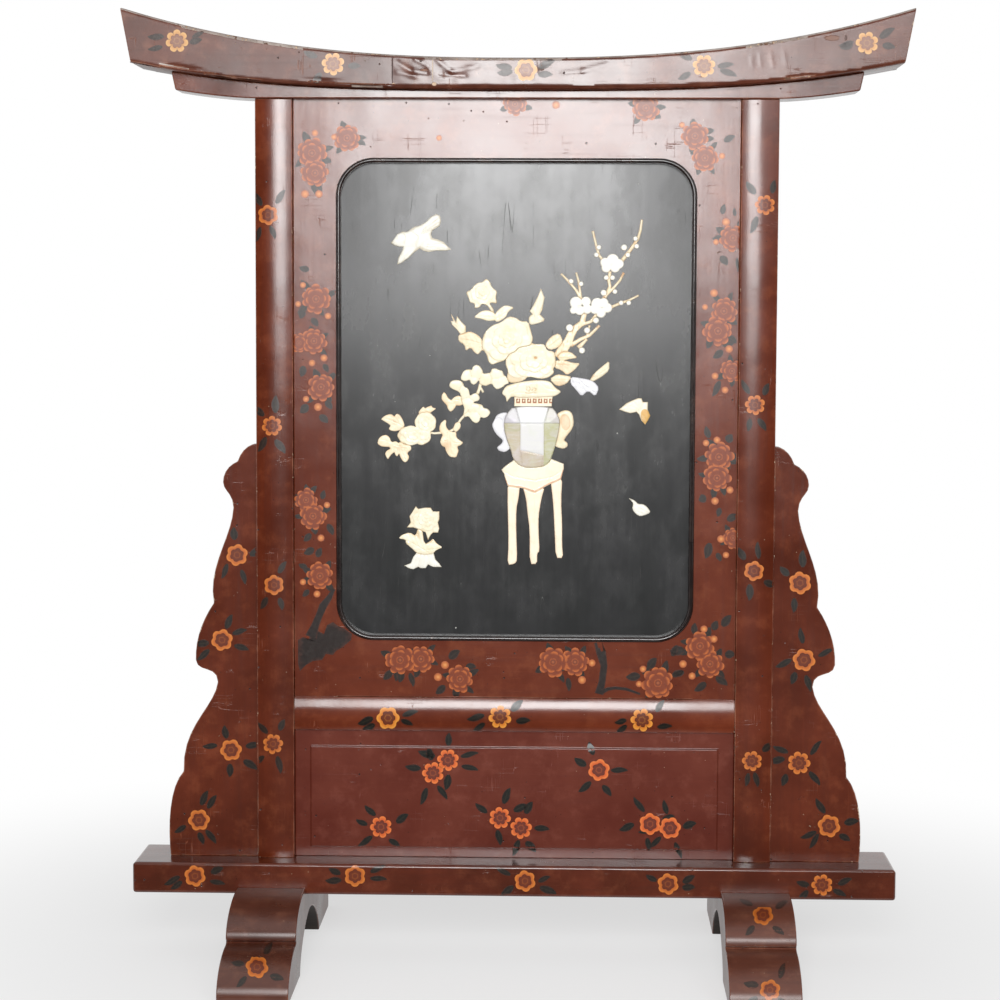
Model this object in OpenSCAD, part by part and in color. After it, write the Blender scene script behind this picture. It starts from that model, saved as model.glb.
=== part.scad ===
// Table screen of red-brown lacquered wood with a raised bone-inlay picture.
// Units are millimetres and +Z is up. The origin is on the floor under the centre.
// The picture side looks toward -Y. The whole screen is fixed, nothing on it moves.

/* [Feet] */
// Width of one foot along the screen
foot_w = 55; // [44:0.5:70]
// Length of one foot from front to back
foot_d = 302; // [240:1:360]
// Height of the foot at its flat middle
foot_h = 61.6; // [54:0.2:80]
// Depth of the seat that holds the base rail
foot_seat = 5.3; // [3:0.1:9]
// Distance from the middle of a post outward to the middle of its foot
foot_off = 1.4; // [0:0.1:8]
// Front-to-back length of the flat middle of a foot
foot_flat = 72; // [68:1:90]
// Height of the upper rounded step above the floor
step_h = 37; // [32:0.5:46]
// Front-to-back length of the upper rounded step
step_d = 197; // [170:1:220]
// Height of the lower step's upright toe
toe_h = 5; // [2:0.5:10]
// Length of the arch between the two toes, at the floor
arch_d = 142; // [110:1:180]
// Height of the arch under the foot
arch_h = 36.5; // [25:0.5:40]

/* [Base rail] */
// Length of the base rail beyond each bracket
base_over = 23.7; // [10:0.1:50]
// Front-to-back depth of the base rail
base_d = 66.3; // [60:0.1:70]
// Height of the base rail
base_h = 25; // [22:0.5:34]
// Radius of the base rail's edges
base_edge = 2.5; // [1:0.5:5]

/* [Posts] */
// Width of one post seen from the front
post_w = 29.6; // [26:0.2:36]
// Front-to-back depth of one post
post_d = 25; // [22:0.5:32]
// Radius of the curved front face of a post
post_crown = 40; // [36:1:80]
// Width of the tenons at both ends of a post
post_tenon_w = 16; // [12:0.5:20]
// Depth of the tenons at both ends of a post
post_tenon_d = 12; // [8:0.5:14]
// Length of a post's lower tenon
post_tenon_low = 20; // [12:0.5:21]
// Length of a post's upper tenon
post_tenon_up = 19.4; // [14:0.2:24]
// Thickness of the tongues that slide into the posts
tongue_t = 5; // [3:0.1:6]
// Length of the tongues that slide into the posts
tongue_l = 4; // [2:0.1:5]

/* [Brackets] */
// Width of one side bracket at its foot
bracket_w = 74.8; // [60:0.2:80]
// Height of one side bracket
bracket_h = 336.4; // [280:0.2:400]
// Thickness of one side bracket
bracket_t = 13.2; // [10:0.2:18]

/* [Lower panel and rail] */
// Height of the lower panel
apron_h = 104.7; // [80:0.1:140]
// Thickness of the lower panel
apron_t = 8; // [7:0.1:12]
// Height that the panel's field stands proud
field_up = 1.5; // [0.5:0.1:3]
// Margin beside the raised field
field_side = 13; // [8:0.5:20]
// Margin above the raised field
field_top = 14; // [8:0.5:20]
// Margin below the raised field
field_low = 8; // [5:0.5:16]
// Height of the middle rail
rail_h = 27; // [22:0.5:36]
// Depth of the middle rail from front to back
rail_d = 17.5; // [15:0.5:22]
// Radius of the middle rail's front edges
rail_round = 8; // [4:0.5:10]

/* [Picture frame] */
// Thickness of the picture frame
frame_t = 13; // [12:0.5:18]
// Width of the opening round the picture
open_w = 287.5; // [260:0.5:310]
// Height of the opening round the picture
open_h = 386.7; // [330:0.1:410]
// Radius of the opening's corners
open_r = 30.5; // [20:0.5:40]
// Height of the frame rail below the opening
open_below = 46.1; // [36:0.1:60]
// Height of the frame rail above the opening
open_above = 45.8; // [36:0.1:60]
// Width of the frame stiles beside the opening
stile_w = 34.15; // [28:0.05:44]
// Width of the bead round the picture
bead_w = 4; // [3:0.1:6]
// Height of the bead above the picture board
bead_h = 7; // [6:0.1:10]
// Width of the rebate behind the opening
rebate_w = 7; // [5:0.1:9]

/* [Picture board and back] */
// Thickness of the lacquered picture board
board_t = 5; // [4:0.1:6]
// Thickness of the backing board
backing_t = 2.9; // [2:0.1:4]
// Width of the battens that hold the backing board
batten_w = 16; // [12:0.5:20]
// Thickness of the battens
batten_t = 4; // [3:0.1:6]
// Height of the thin inlay slips
slip_low = 1.2; // [0.8:0.1:2]
// Height of the middle inlay slips
slip_mid = 1.8; // [1:0.1:2.5]
// Height of the thick carved inlay pieces
slip_high = 2.6; // [1.5:0.1:4]

/* [Caps] */
// Reach of the upper cap's lower edge beyond each post
cap_over = 95.5; // [60:0.5:130]
// How far each end of the upper cap leans out at the top
cap_lean = 8.3; // [0:0.1:16]
// Front-to-back depth of the upper cap
cap_d = 57.4; // [50:0.2:70]
// Thickness of the upper cap at its centre
cap_h = 25.8; // [22:0.2:36]
// Height that the ends of the upper cap rise
cap_rise = 38.5; // [20:0.5:46]
// Height that the seat between the caps rises toward the ends
seat_rise = 20.1; // [10:0.1:26]
// Radius of the upper cap's lower edges
cap_round = 8; // [5:0.5:10]
// Radius of the upper cap's upper edges
cap_edge = 3; // [1:0.5:5]
// Reach of the lower cap's upper edge beyond each post
under_over = 65.7; // [30:0.1:90]
// Front-to-back depth of the lower cap
under_d = 30.4; // [27:0.2:36]
// Thickness of the lower cap at its centre
under_h = 6.6; // [5:0.2:10]

/* [Dowels and pins] */
// Radius of the dowels between feet and base rail
foot_dowel_r = 5; // [3:0.5:6]
// Radius of the dowels between the two caps
cap_dowel_r = 3; // [2:0.5:4]
// Radius of the pins in the battens
pin_r = 0.8; // [0.6:0.1:1.2]
// Clearance between a tenon, dowel or tongue and its hole
fit = 0.15; // [0.05:0.05:0.3]

/* [View] */
// Piece to draw, or all of them

/* [Hidden] */
$fn = 48;

red_lacquer = [0.42, 0.19, 0.12];
dark_lacquer = [0.30, 0.13, 0.09];
black_lacquer = [0.13, 0.12, 0.12];
bare_wood = [0.55, 0.42, 0.28];
cream_bone = [0.92, 0.89, 0.77];
white_bone = [0.93, 0.92, 0.87];
tan_bone = [0.87, 0.76, 0.55];
pearl_shell = [0.74, 0.70, 0.58];

bay_w = open_w + 2 * stile_w;
frame_h = open_below + open_h + open_above;
base_z = foot_h - foot_seat;
base_top = base_z + base_h;
rail_z = base_top + apron_h;
frame_z = rail_z + rail_h;
cap_z = frame_z + frame_h;
post_x = (bay_w + post_w) / 2;
post_out = bay_w / 2 + post_w;
foot_x = post_x + foot_off;
base_w = 2 * (post_out + bracket_w + base_over);
cap_low_w = 2 * (post_out + cap_over);
cap_w = cap_low_w + 2 * cap_lean;
under_w = 2 * (post_out + under_over);

// The frame and the panel share one groove in the posts, a little behind the middle.
groove_y = 0.5;
frame_front = groove_y - frame_t / 2;
frame_back = groove_y + frame_t / 2;
apron_front = groove_y - apron_t / 2;
rail_back = 8;
rail_front = rail_back - rail_d;
board_front = frame_back - board_t - backing_t - 0.1;
open_cz = frame_z + open_below + open_h / 2;
gap = 0.1;
seam = 0.3;

mortise_l = 12;
mortise_d = 8;
mortise_h = 14;
frame_tenon_l = 18;
frame_tenon_h = 22;
lobe_up = 0.4;
stub_w = 40;
stub_d = 6;
stub_l = 8;
bracket_tongue_end = 9;

foot_dowel_y = 18;
foot_dowel_low = arch_h + 3;
foot_dowel_top = base_z + 10;
cap_dowel_x = [70, 150];
cap_dowel_low = 3;
cap_dowel_l = 17;
pin_l = 9;
pin_inset = 3.5;

// shared curves and shapes

function bezier(a, b, c, d, n) = [
  for (i = [1 : n])
    let (t = i / n)
      a * pow(1 - t, 3) + 3 * b * t * pow(1 - t, 2) + 3 * c * t * t * (1 - t) + d * pow(t, 3)
];

function arc(cx, cy, rx, ry, from, to, n) = [
  for (i = [0 : n])
    let (q = from + (to - from) * i / n)
      [cx + rx * cos(q), cy + ry * sin(q)]
];

// One round of corner cutting on a closed outline.
function soften(p) = [
  for (i = [0 : len(p) - 1])
    let (a = p[i], b = p[(i + 1) % len(p)])
      each [a * 0.78 + b * 0.22, a * 0.22 + b * 0.78]
];

function along(p, i) =
  let (a = p[max(i - 1, 0)], b = p[min(i + 1, len(p) - 1)], d = (b - a) / norm(b - a))
    [-d[1], d[0]];

// Outline of a bent strip that goes from width w0 to width w1.
function strip(p, w0, w1) =
  let (n = len(p) - 1)
    concat(
      [for (i = [0 : n]) p[i] + along(p, i) * (w0 + (w1 - w0) * i / n) / 2],
      [for (i = [n : -1 : 0]) p[i] - along(p, i) * (w0 + (w1 - w0) * i / n) / 2]
    );

module round_rect(w, h, r) {
  square([w - 2 * r, h], center = true);
  square([w, h - 2 * r], center = true);
  for (sx = [-1, 1], sy = [-1, 1])
    translate([sx * (w / 2 - r), sy * (h / 2 - r)]) circle(r);
}

// Extrudes a front view: 2D x and y become X and Z, centred on y.
module upright(y, t) {
  translate([0, y, 0]) rotate([90, 0, 0]) linear_extrude(t, center = true) children();
}

// Extrudes a side view: 2D x and y become Y and Z, centred on X = 0.
module sideways(l) {
  rotate([90, 0, 90]) linear_extrude(l, center = true) children();
}

// feet and base rail

module foot_profile() {
  half = foot_d / 2;
  tread = step_d / 2;
  toe_back = half - 1;
  arch = arch_d / 2;
  right = concat(
    [[foot_flat / 2, foot_h]],
    arc(foot_flat / 2, step_h, tread - foot_flat / 2, foot_h - step_h, 84, 0, 14),
    [[tread, step_h - 1], [tread - 1.6, step_h - 1.8], [tread - 1.6, step_h - 3]],
    arc(tread - 1, toe_h, half - tread + 1, step_h - 4 - toe_h, 88, 0, 14),
    [[toe_back, 0], [arch, 0]],
    [for (i = [1 : 15])
      let (y = arch * cos(i * 6))
        [y, arch_h * pow(1 - pow(y / arch, 1.7), 1 / 1.7)]]
  );
  n = len(right);
  left = [for (i = [n - 2 : -1 : 0]) [-right[i][0], right[i][1]]];
  polygon(concat(right, left));
}

module foot(side) {
  translate([side * foot_x, 0, 0]) difference() {
    sideways(foot_w) foot_profile();
    translate([0, 0, base_z + foot_h / 2])
      cube([foot_w + 1, base_d + 2 * gap, foot_h], center = true);
    for (s = [-1, 1])
      translate([0, s * foot_dowel_y, foot_dowel_low])
        cylinder(h = foot_h, r = foot_dowel_r + fit);
  }
}

module foot_left() {
  color(dark_lacquer) foot(-1);
}

module foot_right() {
  color(dark_lacquer) foot(1);
}

module foot_dowels() {
  color(bare_wood)
    for (side = [-1, 1], s = [-1, 1])
      translate([side * foot_x, s * foot_dowel_y, foot_dowel_low])
        cylinder(h = foot_dowel_top - foot_dowel_low - fit, r = foot_dowel_r);
}

module base_rail() {
  color(dark_lacquer) difference() {
    intersection() {
      translate([0, 0, base_z + base_h / 2])
        sideways(base_w) round_rect(base_d, base_h, base_edge);
      translate([0, 0, base_z])
        linear_extrude(base_h) round_rect(base_w, base_d, base_edge);
    }
    for (side = [-1, 1]) {
      translate([side * post_x, 0, base_top])
        cube([
          post_tenon_w + 2 * fit, post_tenon_d + 2 * fit, 2 * (post_tenon_low + fit)
        ], center = true);
      translate([side * (post_out + bracket_w / 2), 0, base_top])
        cube([stub_w + 2 * fit, stub_d + 2 * fit, 2 * (stub_l + fit)], center = true);
      for (s = [-1, 1])
        translate([side * foot_x, s * foot_dowel_y, base_z - 1])
          cylinder(h = foot_dowel_top - base_z + 1, r = foot_dowel_r + fit);
    }
    translate([0, groove_y, base_top])
      cube([bay_w, tongue_t + 2 * fit, 2 * (tongue_l + fit)], center = true);
  }
}

// posts and side brackets

module post_section() {
  corner = 2.2;
  intersection() {
    round_rect(post_w, post_d, corner);
    translate([0, post_crown - post_d / 2]) circle(post_crown, $fn = 120);
  }
}

module post(side) {
  tongue_slot = tongue_t + 2 * fit;
  slot_l = tongue_l + fit;
  translate([side * post_x, 0, 0]) {
    difference() {
      translate([0, 0, base_top]) linear_extrude(cap_z - base_top) post_section();
      translate([-side * post_w / 2, groove_y, (base_top + cap_z) / 2])
        cube([2 * slot_l, tongue_slot, cap_z - base_top + 2], center = true);
      translate([-side * post_w / 2, (rail_front + rail_back) / 2 + 1.25, rail_z + rail_h / 2])
        cube([
          2 * (mortise_l + fit), mortise_d + 2 * fit, mortise_h + 2 * fit
        ], center = true);
      translate([side * post_w / 2, 0, base_top + bracket_h / 2])
        cube([
          2 * slot_l, tongue_slot, bracket_h - 2 * bracket_tongue_end + 2 * fit
        ], center = true);
    }
    translate([0, 0, base_top - post_tenon_low / 2 + 0.5])
      cube([post_tenon_w, post_tenon_d, post_tenon_low + 1], center = true);
    translate([0, 0, cap_z + post_tenon_up / 2 - 0.5])
      cube([post_tenon_w, post_tenon_d, post_tenon_up + 1], center = true);
  }
}

module post_left() {
  color(red_lacquer) post(-1);
}

module post_right() {
  color(red_lacquer) post(1);
}

// The outline runs from the tip at the base up to the top against the post.
// It is drawn for a bracket 74.8 wide and 336.4 high.
module bracket_outline() {
  k = [bracket_w / 74.8, bracket_h / 336.4];
  free_edge = concat(
    bezier([72, 0], [74.5, 23.7], [73, 56.7], [61, 69.2], 8),
    bezier([61, 69.2], [62.5, 106.7], [35.5, 121.7], [32.7, 142.7], 9),
    bezier([32.7, 142.7], [32.5, 156.7], [50, 149.7], [50.5, 160.7], 6),
    bezier([50.5, 160.7], [51, 176.7], [45.5, 192.7], [35.5, 207.2], 7),
    bezier([35.5, 207.2], [41, 236.7], [20.5, 260.7], [19.3, 284.7], 9),
    bezier([19.3, 284.7], [19.5, 296.7], [27.5, 297.7], [27.6, 305.3], 5),
    bezier([27.6, 305.3], [27.5, 313.2], [22.5, 319.2], [15.7, 322], 5),
    bezier([15.7, 322], [13, 330.7], [6.5, 336.2], [0, 336.4], 5)
  );
  outline = concat([[0, 0], [72, 0]], free_edge);
  polygon([for (p = outline) [p[0] * k[0], p[1] * k[1]]]);
}

module bracket() {
  translate([post_out, 0, base_top]) {
    upright(0, bracket_t) bracket_outline();
    translate([-tongue_l, -tongue_t / 2, bracket_tongue_end])
      cube([tongue_l + 1, tongue_t, bracket_h - 2 * bracket_tongue_end]);
    translate([(bracket_w - stub_w) / 2, -stub_d / 2, -stub_l])
      cube([stub_w, stub_d, stub_l + 1]);
  }
}

module bracket_left() {
  color(red_lacquer) mirror([1, 0, 0]) bracket();
}

module bracket_right() {
  color(red_lacquer) bracket();
}

// lower panel and middle rail

module apron_panel() {
  field_h = apron_h - field_top - field_low;
  color(red_lacquer) {
    translate([-bay_w / 2, apron_front, base_top]) cube([bay_w, apron_t, apron_h]);
    translate([
      -bay_w / 2 + field_side, apron_front - field_up, base_top + field_low
    ])
      cube([bay_w - 2 * field_side, field_up + 1, field_h]);
    translate([-bay_w / 2 - tongue_l, groove_y - tongue_t / 2, base_top + gap])
      cube([bay_w + 2 * tongue_l, tongue_t, apron_h - 2 * gap]);
    translate([-bay_w / 2 + 1, groove_y - tongue_t / 2, base_top - tongue_l])
      cube([bay_w - 2, tongue_t, apron_h + 2 * tongue_l]);
  }
}

module rail_section() {
  translate([rail_front + rail_round, rail_z])
    square([rail_d - rail_round, rail_h]);
  translate([rail_front, rail_z + rail_round])
    square([rail_round + 1, rail_h - 2 * rail_round]);
  for (z = [rail_z + rail_round, rail_z + rail_h - rail_round])
    translate([rail_front + rail_round, z]) circle(rail_round);
}

module mid_rail() {
  tenon_y = (rail_front + rail_back) / 2 + 1.25;
  color(red_lacquer) difference() {
    union() {
      sideways(bay_w) rail_section();
      translate([0, tenon_y, rail_z + rail_h / 2])
        cube([bay_w + 2 * mortise_l, mortise_d, mortise_h], center = true);
    }
    translate([0, groove_y, rail_z])
      cube([bay_w - 1, tongue_t + 2 * fit, 2 * (tongue_l + fit)], center = true);
  }
}

// picture frame

module opening(grow) {
  translate([0, open_cz])
    round_rect(open_w + 2 * grow, open_h + 2 * grow, open_r + grow);
}

module rebate_cut() {
  upright(board_front + frame_t / 2, frame_t) opening(rebate_w);
}

module batten_holes() {
  for (p = pin_places)
    translate([p[0], frame_back + batten_t - pin_l - 0.5, p[1]])
      rotate([-90, 0, 0]) cylinder(h = pin_l + 2, r = pin_r + 0.05, $fn = 16);
}

module frame_stile(side) {
  color(red_lacquer) difference() {
    union() {
      translate([side * (open_w + stile_w) / 2, groove_y, frame_z + frame_h / 2])
        cube([stile_w, frame_t, frame_h], center = true);
      translate([side * (bay_w + tongue_l - 1) / 2, groove_y, frame_z + frame_h / 2])
        cube([tongue_l + 1, tongue_t, frame_h - 2 * gap], center = true);
    }
    for (z = [frame_z + open_below / 2, cap_z - open_above / 2])
      translate([side * open_w / 2, groove_y, z])
        cube([
          2 * (frame_tenon_l + fit), tongue_t + 2 * fit, frame_tenon_h + 2 * fit
        ], center = true);
    rebate_cut();
    batten_holes();
  }
}

module frame_stile_left() {
  frame_stile(-1);
}

module frame_stile_right() {
  frame_stile(1);
}

// The frame rails carry the rounded corners of the opening.
module frame_rail(z, h, corner_z) {
  difference() {
    union() {
      upright(groove_y, frame_t) difference() {
        translate([-open_w / 2, min(z, corner_z)])
          square([open_w, h + open_r - 0.8]);
        opening(0);
      }
      translate([0, groove_y, z + h / 2])
        cube([open_w + 2 * frame_tenon_l, tongue_t, frame_tenon_h], center = true);
    }
    rebate_cut();
    batten_holes();
  }
}

module frame_rail_bottom() {
  color(red_lacquer) frame_rail(frame_z, open_below, frame_z);
}

module frame_rail_top() {
  z = cap_z - open_above;
  color(red_lacquer) frame_rail(z, open_above, z - open_r + 0.8);
}

// bead round the picture

module bead_ring() {
  nose = bead_w / 2 - 0.1;
  half_w = open_w / 2 - gap - bead_w / 2;
  half_h = open_h / 2 - gap - bead_w / 2;
  turn = open_r - gap - bead_w / 2;
  nose_y = board_front - bead_h + nose;
  upright((board_front + nose_y) / 2, board_front - nose_y) difference() {
    opening(-gap);
    opening(-gap - bead_w);
  }
  translate([0, nose_y, open_cz]) {
    for (s = [-1, 1]) {
      translate([s * half_w, 0, 0])
        cylinder(h = 2 * (half_h - turn), r = nose, center = true);
      translate([0, 0, s * half_h])
        rotate([0, 90, 0]) cylinder(h = 2 * (half_w - turn), r = nose, center = true);
    }
    for (sx = [-1, 1], sz = [-1, 1])
      translate([sx * (half_w - turn), 0, sz * (half_h - turn)])
        mirror([sx < 0 ? 1 : 0, 0, 0]) mirror([0, 0, sz < 0 ? 1 : 0])
          rotate([90, 0, 0])
            rotate_extrude(angle = 90) translate([turn, 0]) circle(nose);
  }
}

// The ring is two bent pieces. They meet high on the left and low on the right.
module bead_part(upper) {
  left_joint = open_cz + open_h * 0.304;
  right_joint = open_cz - open_h * 0.29;
  far = open_h;
  left_z = upper ? left_joint + seam / 2 : left_joint - far - seam / 2;
  right_z = upper ? right_joint + seam / 2 : right_joint - far - seam / 2;
  intersection() {
    bead_ring();
    union() {
      translate([-open_w, -50, left_z]) cube([open_w + 0.01, 100, far]);
      translate([0, -50, right_z]) cube([open_w, 100, far]);
    }
  }
}

module bead_upper() {
  color(dark_lacquer) bead_part(true);
}

module bead_lower() {
  color(dark_lacquer) bead_part(false);
}

// picture board, backing and battens

module picture_board() {
  color(black_lacquer)
    upright(board_front + board_t / 2, board_t) opening(rebate_w - 0.5);
}

module backing_board() {
  color(bare_wood)
    upright(frame_back - backing_t / 2, backing_t) opening(rebate_w - 0.5);
}

batten_out_w = open_w + 4 * rebate_w;
batten_out_h = open_h + 4 * rebate_w;
pin_x = batten_out_w / 2 - pin_inset;
pin_z = batten_out_h / 2 - pin_inset;
pin_places = concat(
  [for (s = [-1, 1], x = [-open_w * 0.4, 0, open_w * 0.4]) [x, open_cz + s * pin_z]],
  [for (s = [-1, 1], z = [-open_h * 0.36, 0, open_h * 0.36]) [s * pin_x, open_cz + z]]
);

module batten_flat(z_side) {
  color(dark_lacquer) difference() {
    translate([0, frame_back + batten_t / 2, open_cz + z_side * (batten_out_h - batten_w) / 2])
      cube([batten_out_w, batten_t, batten_w], center = true);
    batten_holes();
  }
}

module batten_upright(x_side) {
  color(dark_lacquer) difference() {
    translate([x_side * (batten_out_w - batten_w) / 2, frame_back + batten_t / 2, open_cz])
      cube([batten_w, batten_t, batten_out_h - 2 * batten_w - 2 * gap], center = true);
    batten_holes();
  }
}

module batten_bottom() {
  batten_flat(-1);
}

module batten_top() {
  batten_flat(1);
}

module batten_left() {
  batten_upright(-1);
}

module batten_right() {
  batten_upright(1);
}

module batten_pins() {
  color(bare_wood)
    for (p = pin_places)
      translate([p[0], frame_back + batten_t - pin_l, p[1]])
        rotate([-90, 0, 0]) cylinder(h = pin_l + 0.4, r = pin_r, $fn = 16);
}

// caps

cap_steps = 26;
// Height of the seat between the caps and of the cap's top, above cap_z.
function seat_curve(x) = under_h + seat_rise * pow(abs(x) / (cap_low_w / 2), 3.1);
function top_curve(x) = under_h + cap_h + cap_rise * pow(abs(x) / (cap_w / 2), 2.45);
seat_table = [
  for (i = [-cap_steps : cap_steps])
    let (x = cap_low_w / 2 * i / cap_steps)
      [x, seat_curve(x)]
];

module cap_holes() {
  for (side = [-1, 1]) {
    translate([side * post_x, 0, cap_z + post_tenon_up / 2])
      cube([
        post_tenon_w + 2 * fit, post_tenon_d + 2 * fit, post_tenon_up + 2 * fit
      ], center = true);
    for (x = cap_dowel_x)
      translate([side * x, 0, cap_z + cap_dowel_low - fit])
        cylinder(h = cap_dowel_l + 2 * fit, r = cap_dowel_r + fit, $fn = 24);
  }
}

module cap_lower() {
  half_top = under_w / 2;
  half_low = half_top - 3.2;
  under = [
    for (i = [0 : 8])
      let (t = i / 8, x = post_out + (half_low - post_out) * t)
        [x, 6.5 * pow(t, 1.6)]
  ];
  top = [for (p = seat_table) if (p[0] >= 0 && p[0] < half_top - 2) [p[0], p[1] - 0.05]];
  n = len(top);
  right = concat(
    under,
    [[half_top, lookup(half_top, seat_table) - 0.05]],
    [for (i = [n - 1 : -1 : 0]) top[i]]
  );
  m = len(right);
  left = [for (i = [m - 2 : -1 : 0]) [-right[i][0], right[i][1]]];
  color(dark_lacquer) difference() {
    translate([0, 0, cap_z]) upright(0, under_d) polygon(concat(right, left));
    cap_holes();
  }
}

// Cross-section of the upper cap at the place s, from -1 at the left to 1 at the right.
function cap_section(s) =
  let (
    x_low = s * cap_low_w / 2,
    x_top = s * cap_w / 2,
    low = seat_curve(x_low),
    high = top_curve(x_top),
    half = cap_d / 2,
    crown = 1.5,
    front = concat(
      [[-half + cap_round, low]],
      [for (q = [15 : 15 : 90])
        [-half + cap_round * (1 - sin(q)), low + cap_round * (1 - cos(q))]],
      [for (q = [0 : 30 : 90])
        [-half + cap_edge * (1 - cos(q)), high - crown - cap_edge * (1 - sin(q))]],
      [[-half * 0.45, high - crown * 0.3]]
    ),
    n = len(front),
    ring = concat(
      front, [[0, high]], [for (i = [n - 1 : -1 : 0]) [-front[i][0], front[i][1]]]
    )
  )
  [for (p = ring)
    [x_low + (x_top - x_low) * (p[1] - low) / (high - low), p[0], cap_z + p[1]]];

module cap_upper() {
  sections = [for (i = [-cap_steps : cap_steps]) cap_section(i / cap_steps)];
  m = len(sections[0]);
  last = len(sections) - 1;
  skin = [
    for (i = [0 : last - 1], j = [0 : m - 1])
      let (a = i * m + j, b = i * m + (j + 1) % m)
        each [[a, b, b + m], [a, b + m, a + m]]
  ];
  ends = [
    [for (j = [m - 1 : -1 : 0]) j],
    [for (j = [0 : m - 1]) last * m + j]
  ];
  color(dark_lacquer) difference() {
    polyhedron(points = [for (s = sections) each s], faces = concat(skin, ends));
    cap_holes();
  }
}

module cap_dowels() {
  color(bare_wood)
    for (side = [-1, 1], x = cap_dowel_x)
      translate([side * x, 0, cap_z + cap_dowel_low])
        cylinder(h = cap_dowel_l, r = cap_dowel_r, $fn = 24);
}

// inlay picture

// The motifs are drawn from the centre of the opening, for an opening 287.5 by 386.7.
pic_k = min(open_w / 287.5, open_h / 386.7);

module slip(t) {
  translate([0, board_front, open_cz])
    rotate([90, 0, 0]) linear_extrude(t) children();
}

module shape(p) {
  polygon(soften(p) * pic_k);
}

module sharp(p) {
  polygon(p * pic_k);
}

// A group of discs, each [x, y, radius].
module discs(list) {
  for (c = list) translate([c[0], c[1]] * pic_k) circle(c[2] * pic_k, $fn = 24);
}

module twig(p, w0, w1) {
  polygon(strip(p, w0, w1) * pic_k);
}

module peony_left_2d() {
  shape([
    [-27, 48], [-25, 55], [-19, 61], [-12, 63], [-6, 68], [0, 67], [4, 64], [10, 64],
    [12, 57], [14, 50], [12, 45], [7, 44], [2, 43], [0, 40], [-5, 38], [-8, 33],
    [-14, 31], [-19, 29], [-22, 32], [-23, 37], [-25, 40], [-27, 43]
  ]);
}

module peony_right_2d() {
  difference() {
    shape([
      [-8, 33], [-6, 38], [0, 44], [10, 48], [15, 46], [18, 46], [23, 46], [25, 41],
      [31, 40], [32, 35], [32, 29], [30, 26], [31, 23], [26, 19], [20, 18], [10, 20],
      [7, 17], [1, 15], [-5, 15], [-7, 19], [-6, 24], [-8, 29]
    ]);
    peony_left_2d();
  }
}

module leaves_right_2d() {
  difference() {
    union() {
      shape([[23, 45], [28, 52], [35, 55], [38, 48], [34, 43], [27, 41]]);
      shape([[33, 36], [37, 40], [44, 40], [50, 35], [43, 34], [36, 32]]);
      shape([
        [31, 33], [40, 33], [46, 31], [52, 31], [47, 25], [41, 21], [37, 25], [31, 27]
      ]);
      shape([[27, 18], [33, 22], [40, 21], [45, 20], [41, 14], [33, 12]]);
    }
    peony_right_2d();
    peony_left_2d();
  }
}

module leaf_white_2d() {
  difference() {
    shape([
      [44, 20], [52, 19], [58, 18], [63, 16], [67, 11], [64, 4], [58, 9], [53, 4],
      [48, 10], [44, 14]
    ]);
    leaves_right_2d();
  }
}

module inlay_bird() {
  color(white_bone) slip(slip_high) sharp([
    [-100, 126], [-95, 133], [-91, 135], [-87, 135], [-81, 139], [-77, 140], [-72, 143],
    [-68, 147], [-64, 149], [-61, 148], [-60, 144], [-61, 140], [-64, 138], [-67, 136],
    [-68, 133], [-67, 130], [-63, 129], [-58, 127], [-55, 124], [-52, 121], [-56, 120],
    [-64, 120], [-70, 119], [-74, 120], [-77, 122], [-81, 119], [-86, 114], [-92, 110],
    [-95, 109], [-94, 114], [-91, 120], [-90, 123], [-93, 123], [-97, 124]
  ]);
}

module inlay_rose() {
  color(cream_bone) slip(slip_high) difference() {
    union() {
      shape([
        [-40, 87], [-36, 89], [-34, 92], [-30, 95], [-27, 95], [-24, 98], [-21, 96],
        [-19, 91], [-15, 88], [-16, 83], [-15, 78], [-20, 79], [-22, 76], [-27, 78],
        [-29, 75], [-33, 74], [-33, 78], [-37, 79], [-38, 83]
      ]);
      twig([[-23, 79], [-19, 73], [-18, 66]], 2.6, 2.2);
    }
    rose_leaves_2d();
    peony_left_2d();
  }
}

module rose_leaves_2d() {
  difference() {
    union() {
      shape([[-34, 67], [-28, 72], [-23, 73], [-17, 71], [-15, 65], [-22, 64], [-28, 66]]);
      shape([
        [-16, 71], [-12, 75], [-8, 77], [-1, 75], [-6, 72], [-8, 67], [-15, 63],
        [-18, 66]
      ]);
    }
    peony_left_2d();
  }
}

module inlay_rose_leaves() {
  color(cream_bone) slip(slip_low) rose_leaves_2d();
}

module leaf_left_2d() {
  difference() {
    shape([
      [-46, 48], [-46, 53], [-42, 54], [-37, 56], [-32, 54], [-28, 51], [-26, 46],
      [-25, 40], [-27, 41], [-30, 37], [-33, 39], [-36, 43], [-40, 40], [-41, 45]
    ]);
    peony_left_2d();
  }
}

module inlay_leaf_left() {
  color(tan_bone) slip(slip_mid) leaf_left_2d();
}

module inlay_bud_left() {
  color(cream_bone) slip(slip_mid) difference() {
    sharp([
      [-52, 70], [-49, 65], [-48, 63], [-47, 68], [-44, 64], [-40, 60], [-40, 55],
      [-44, 53], [-47, 57], [-51, 61], [-52, 64], [-50, 64]
    ]);
    leaf_left_2d();
  }
}

module inlay_peony_left() {
  color(cream_bone) slip(slip_high) peony_left_2d();
}

module inlay_peony_right() {
  color(cream_bone) slip(slip_high) peony_right_2d();
}

module inlay_bud_upper() {
  color(cream_bone) slip(slip_mid) difference() {
    union() {
      sharp([
        [20, 90], [23, 83], [21, 73], [19, 69], [14, 69], [11, 72], [14, 77], [17, 83]
      ]);
      shape([[13, 70], [19, 70], [24, 65], [17, 62], [11, 61], [10, 67]]);
    }
    peony_left_2d();
  }
}

module inlay_leaves_right() {
  color(tan_bone) slip(slip_mid) leaves_right_2d();
}

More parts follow.
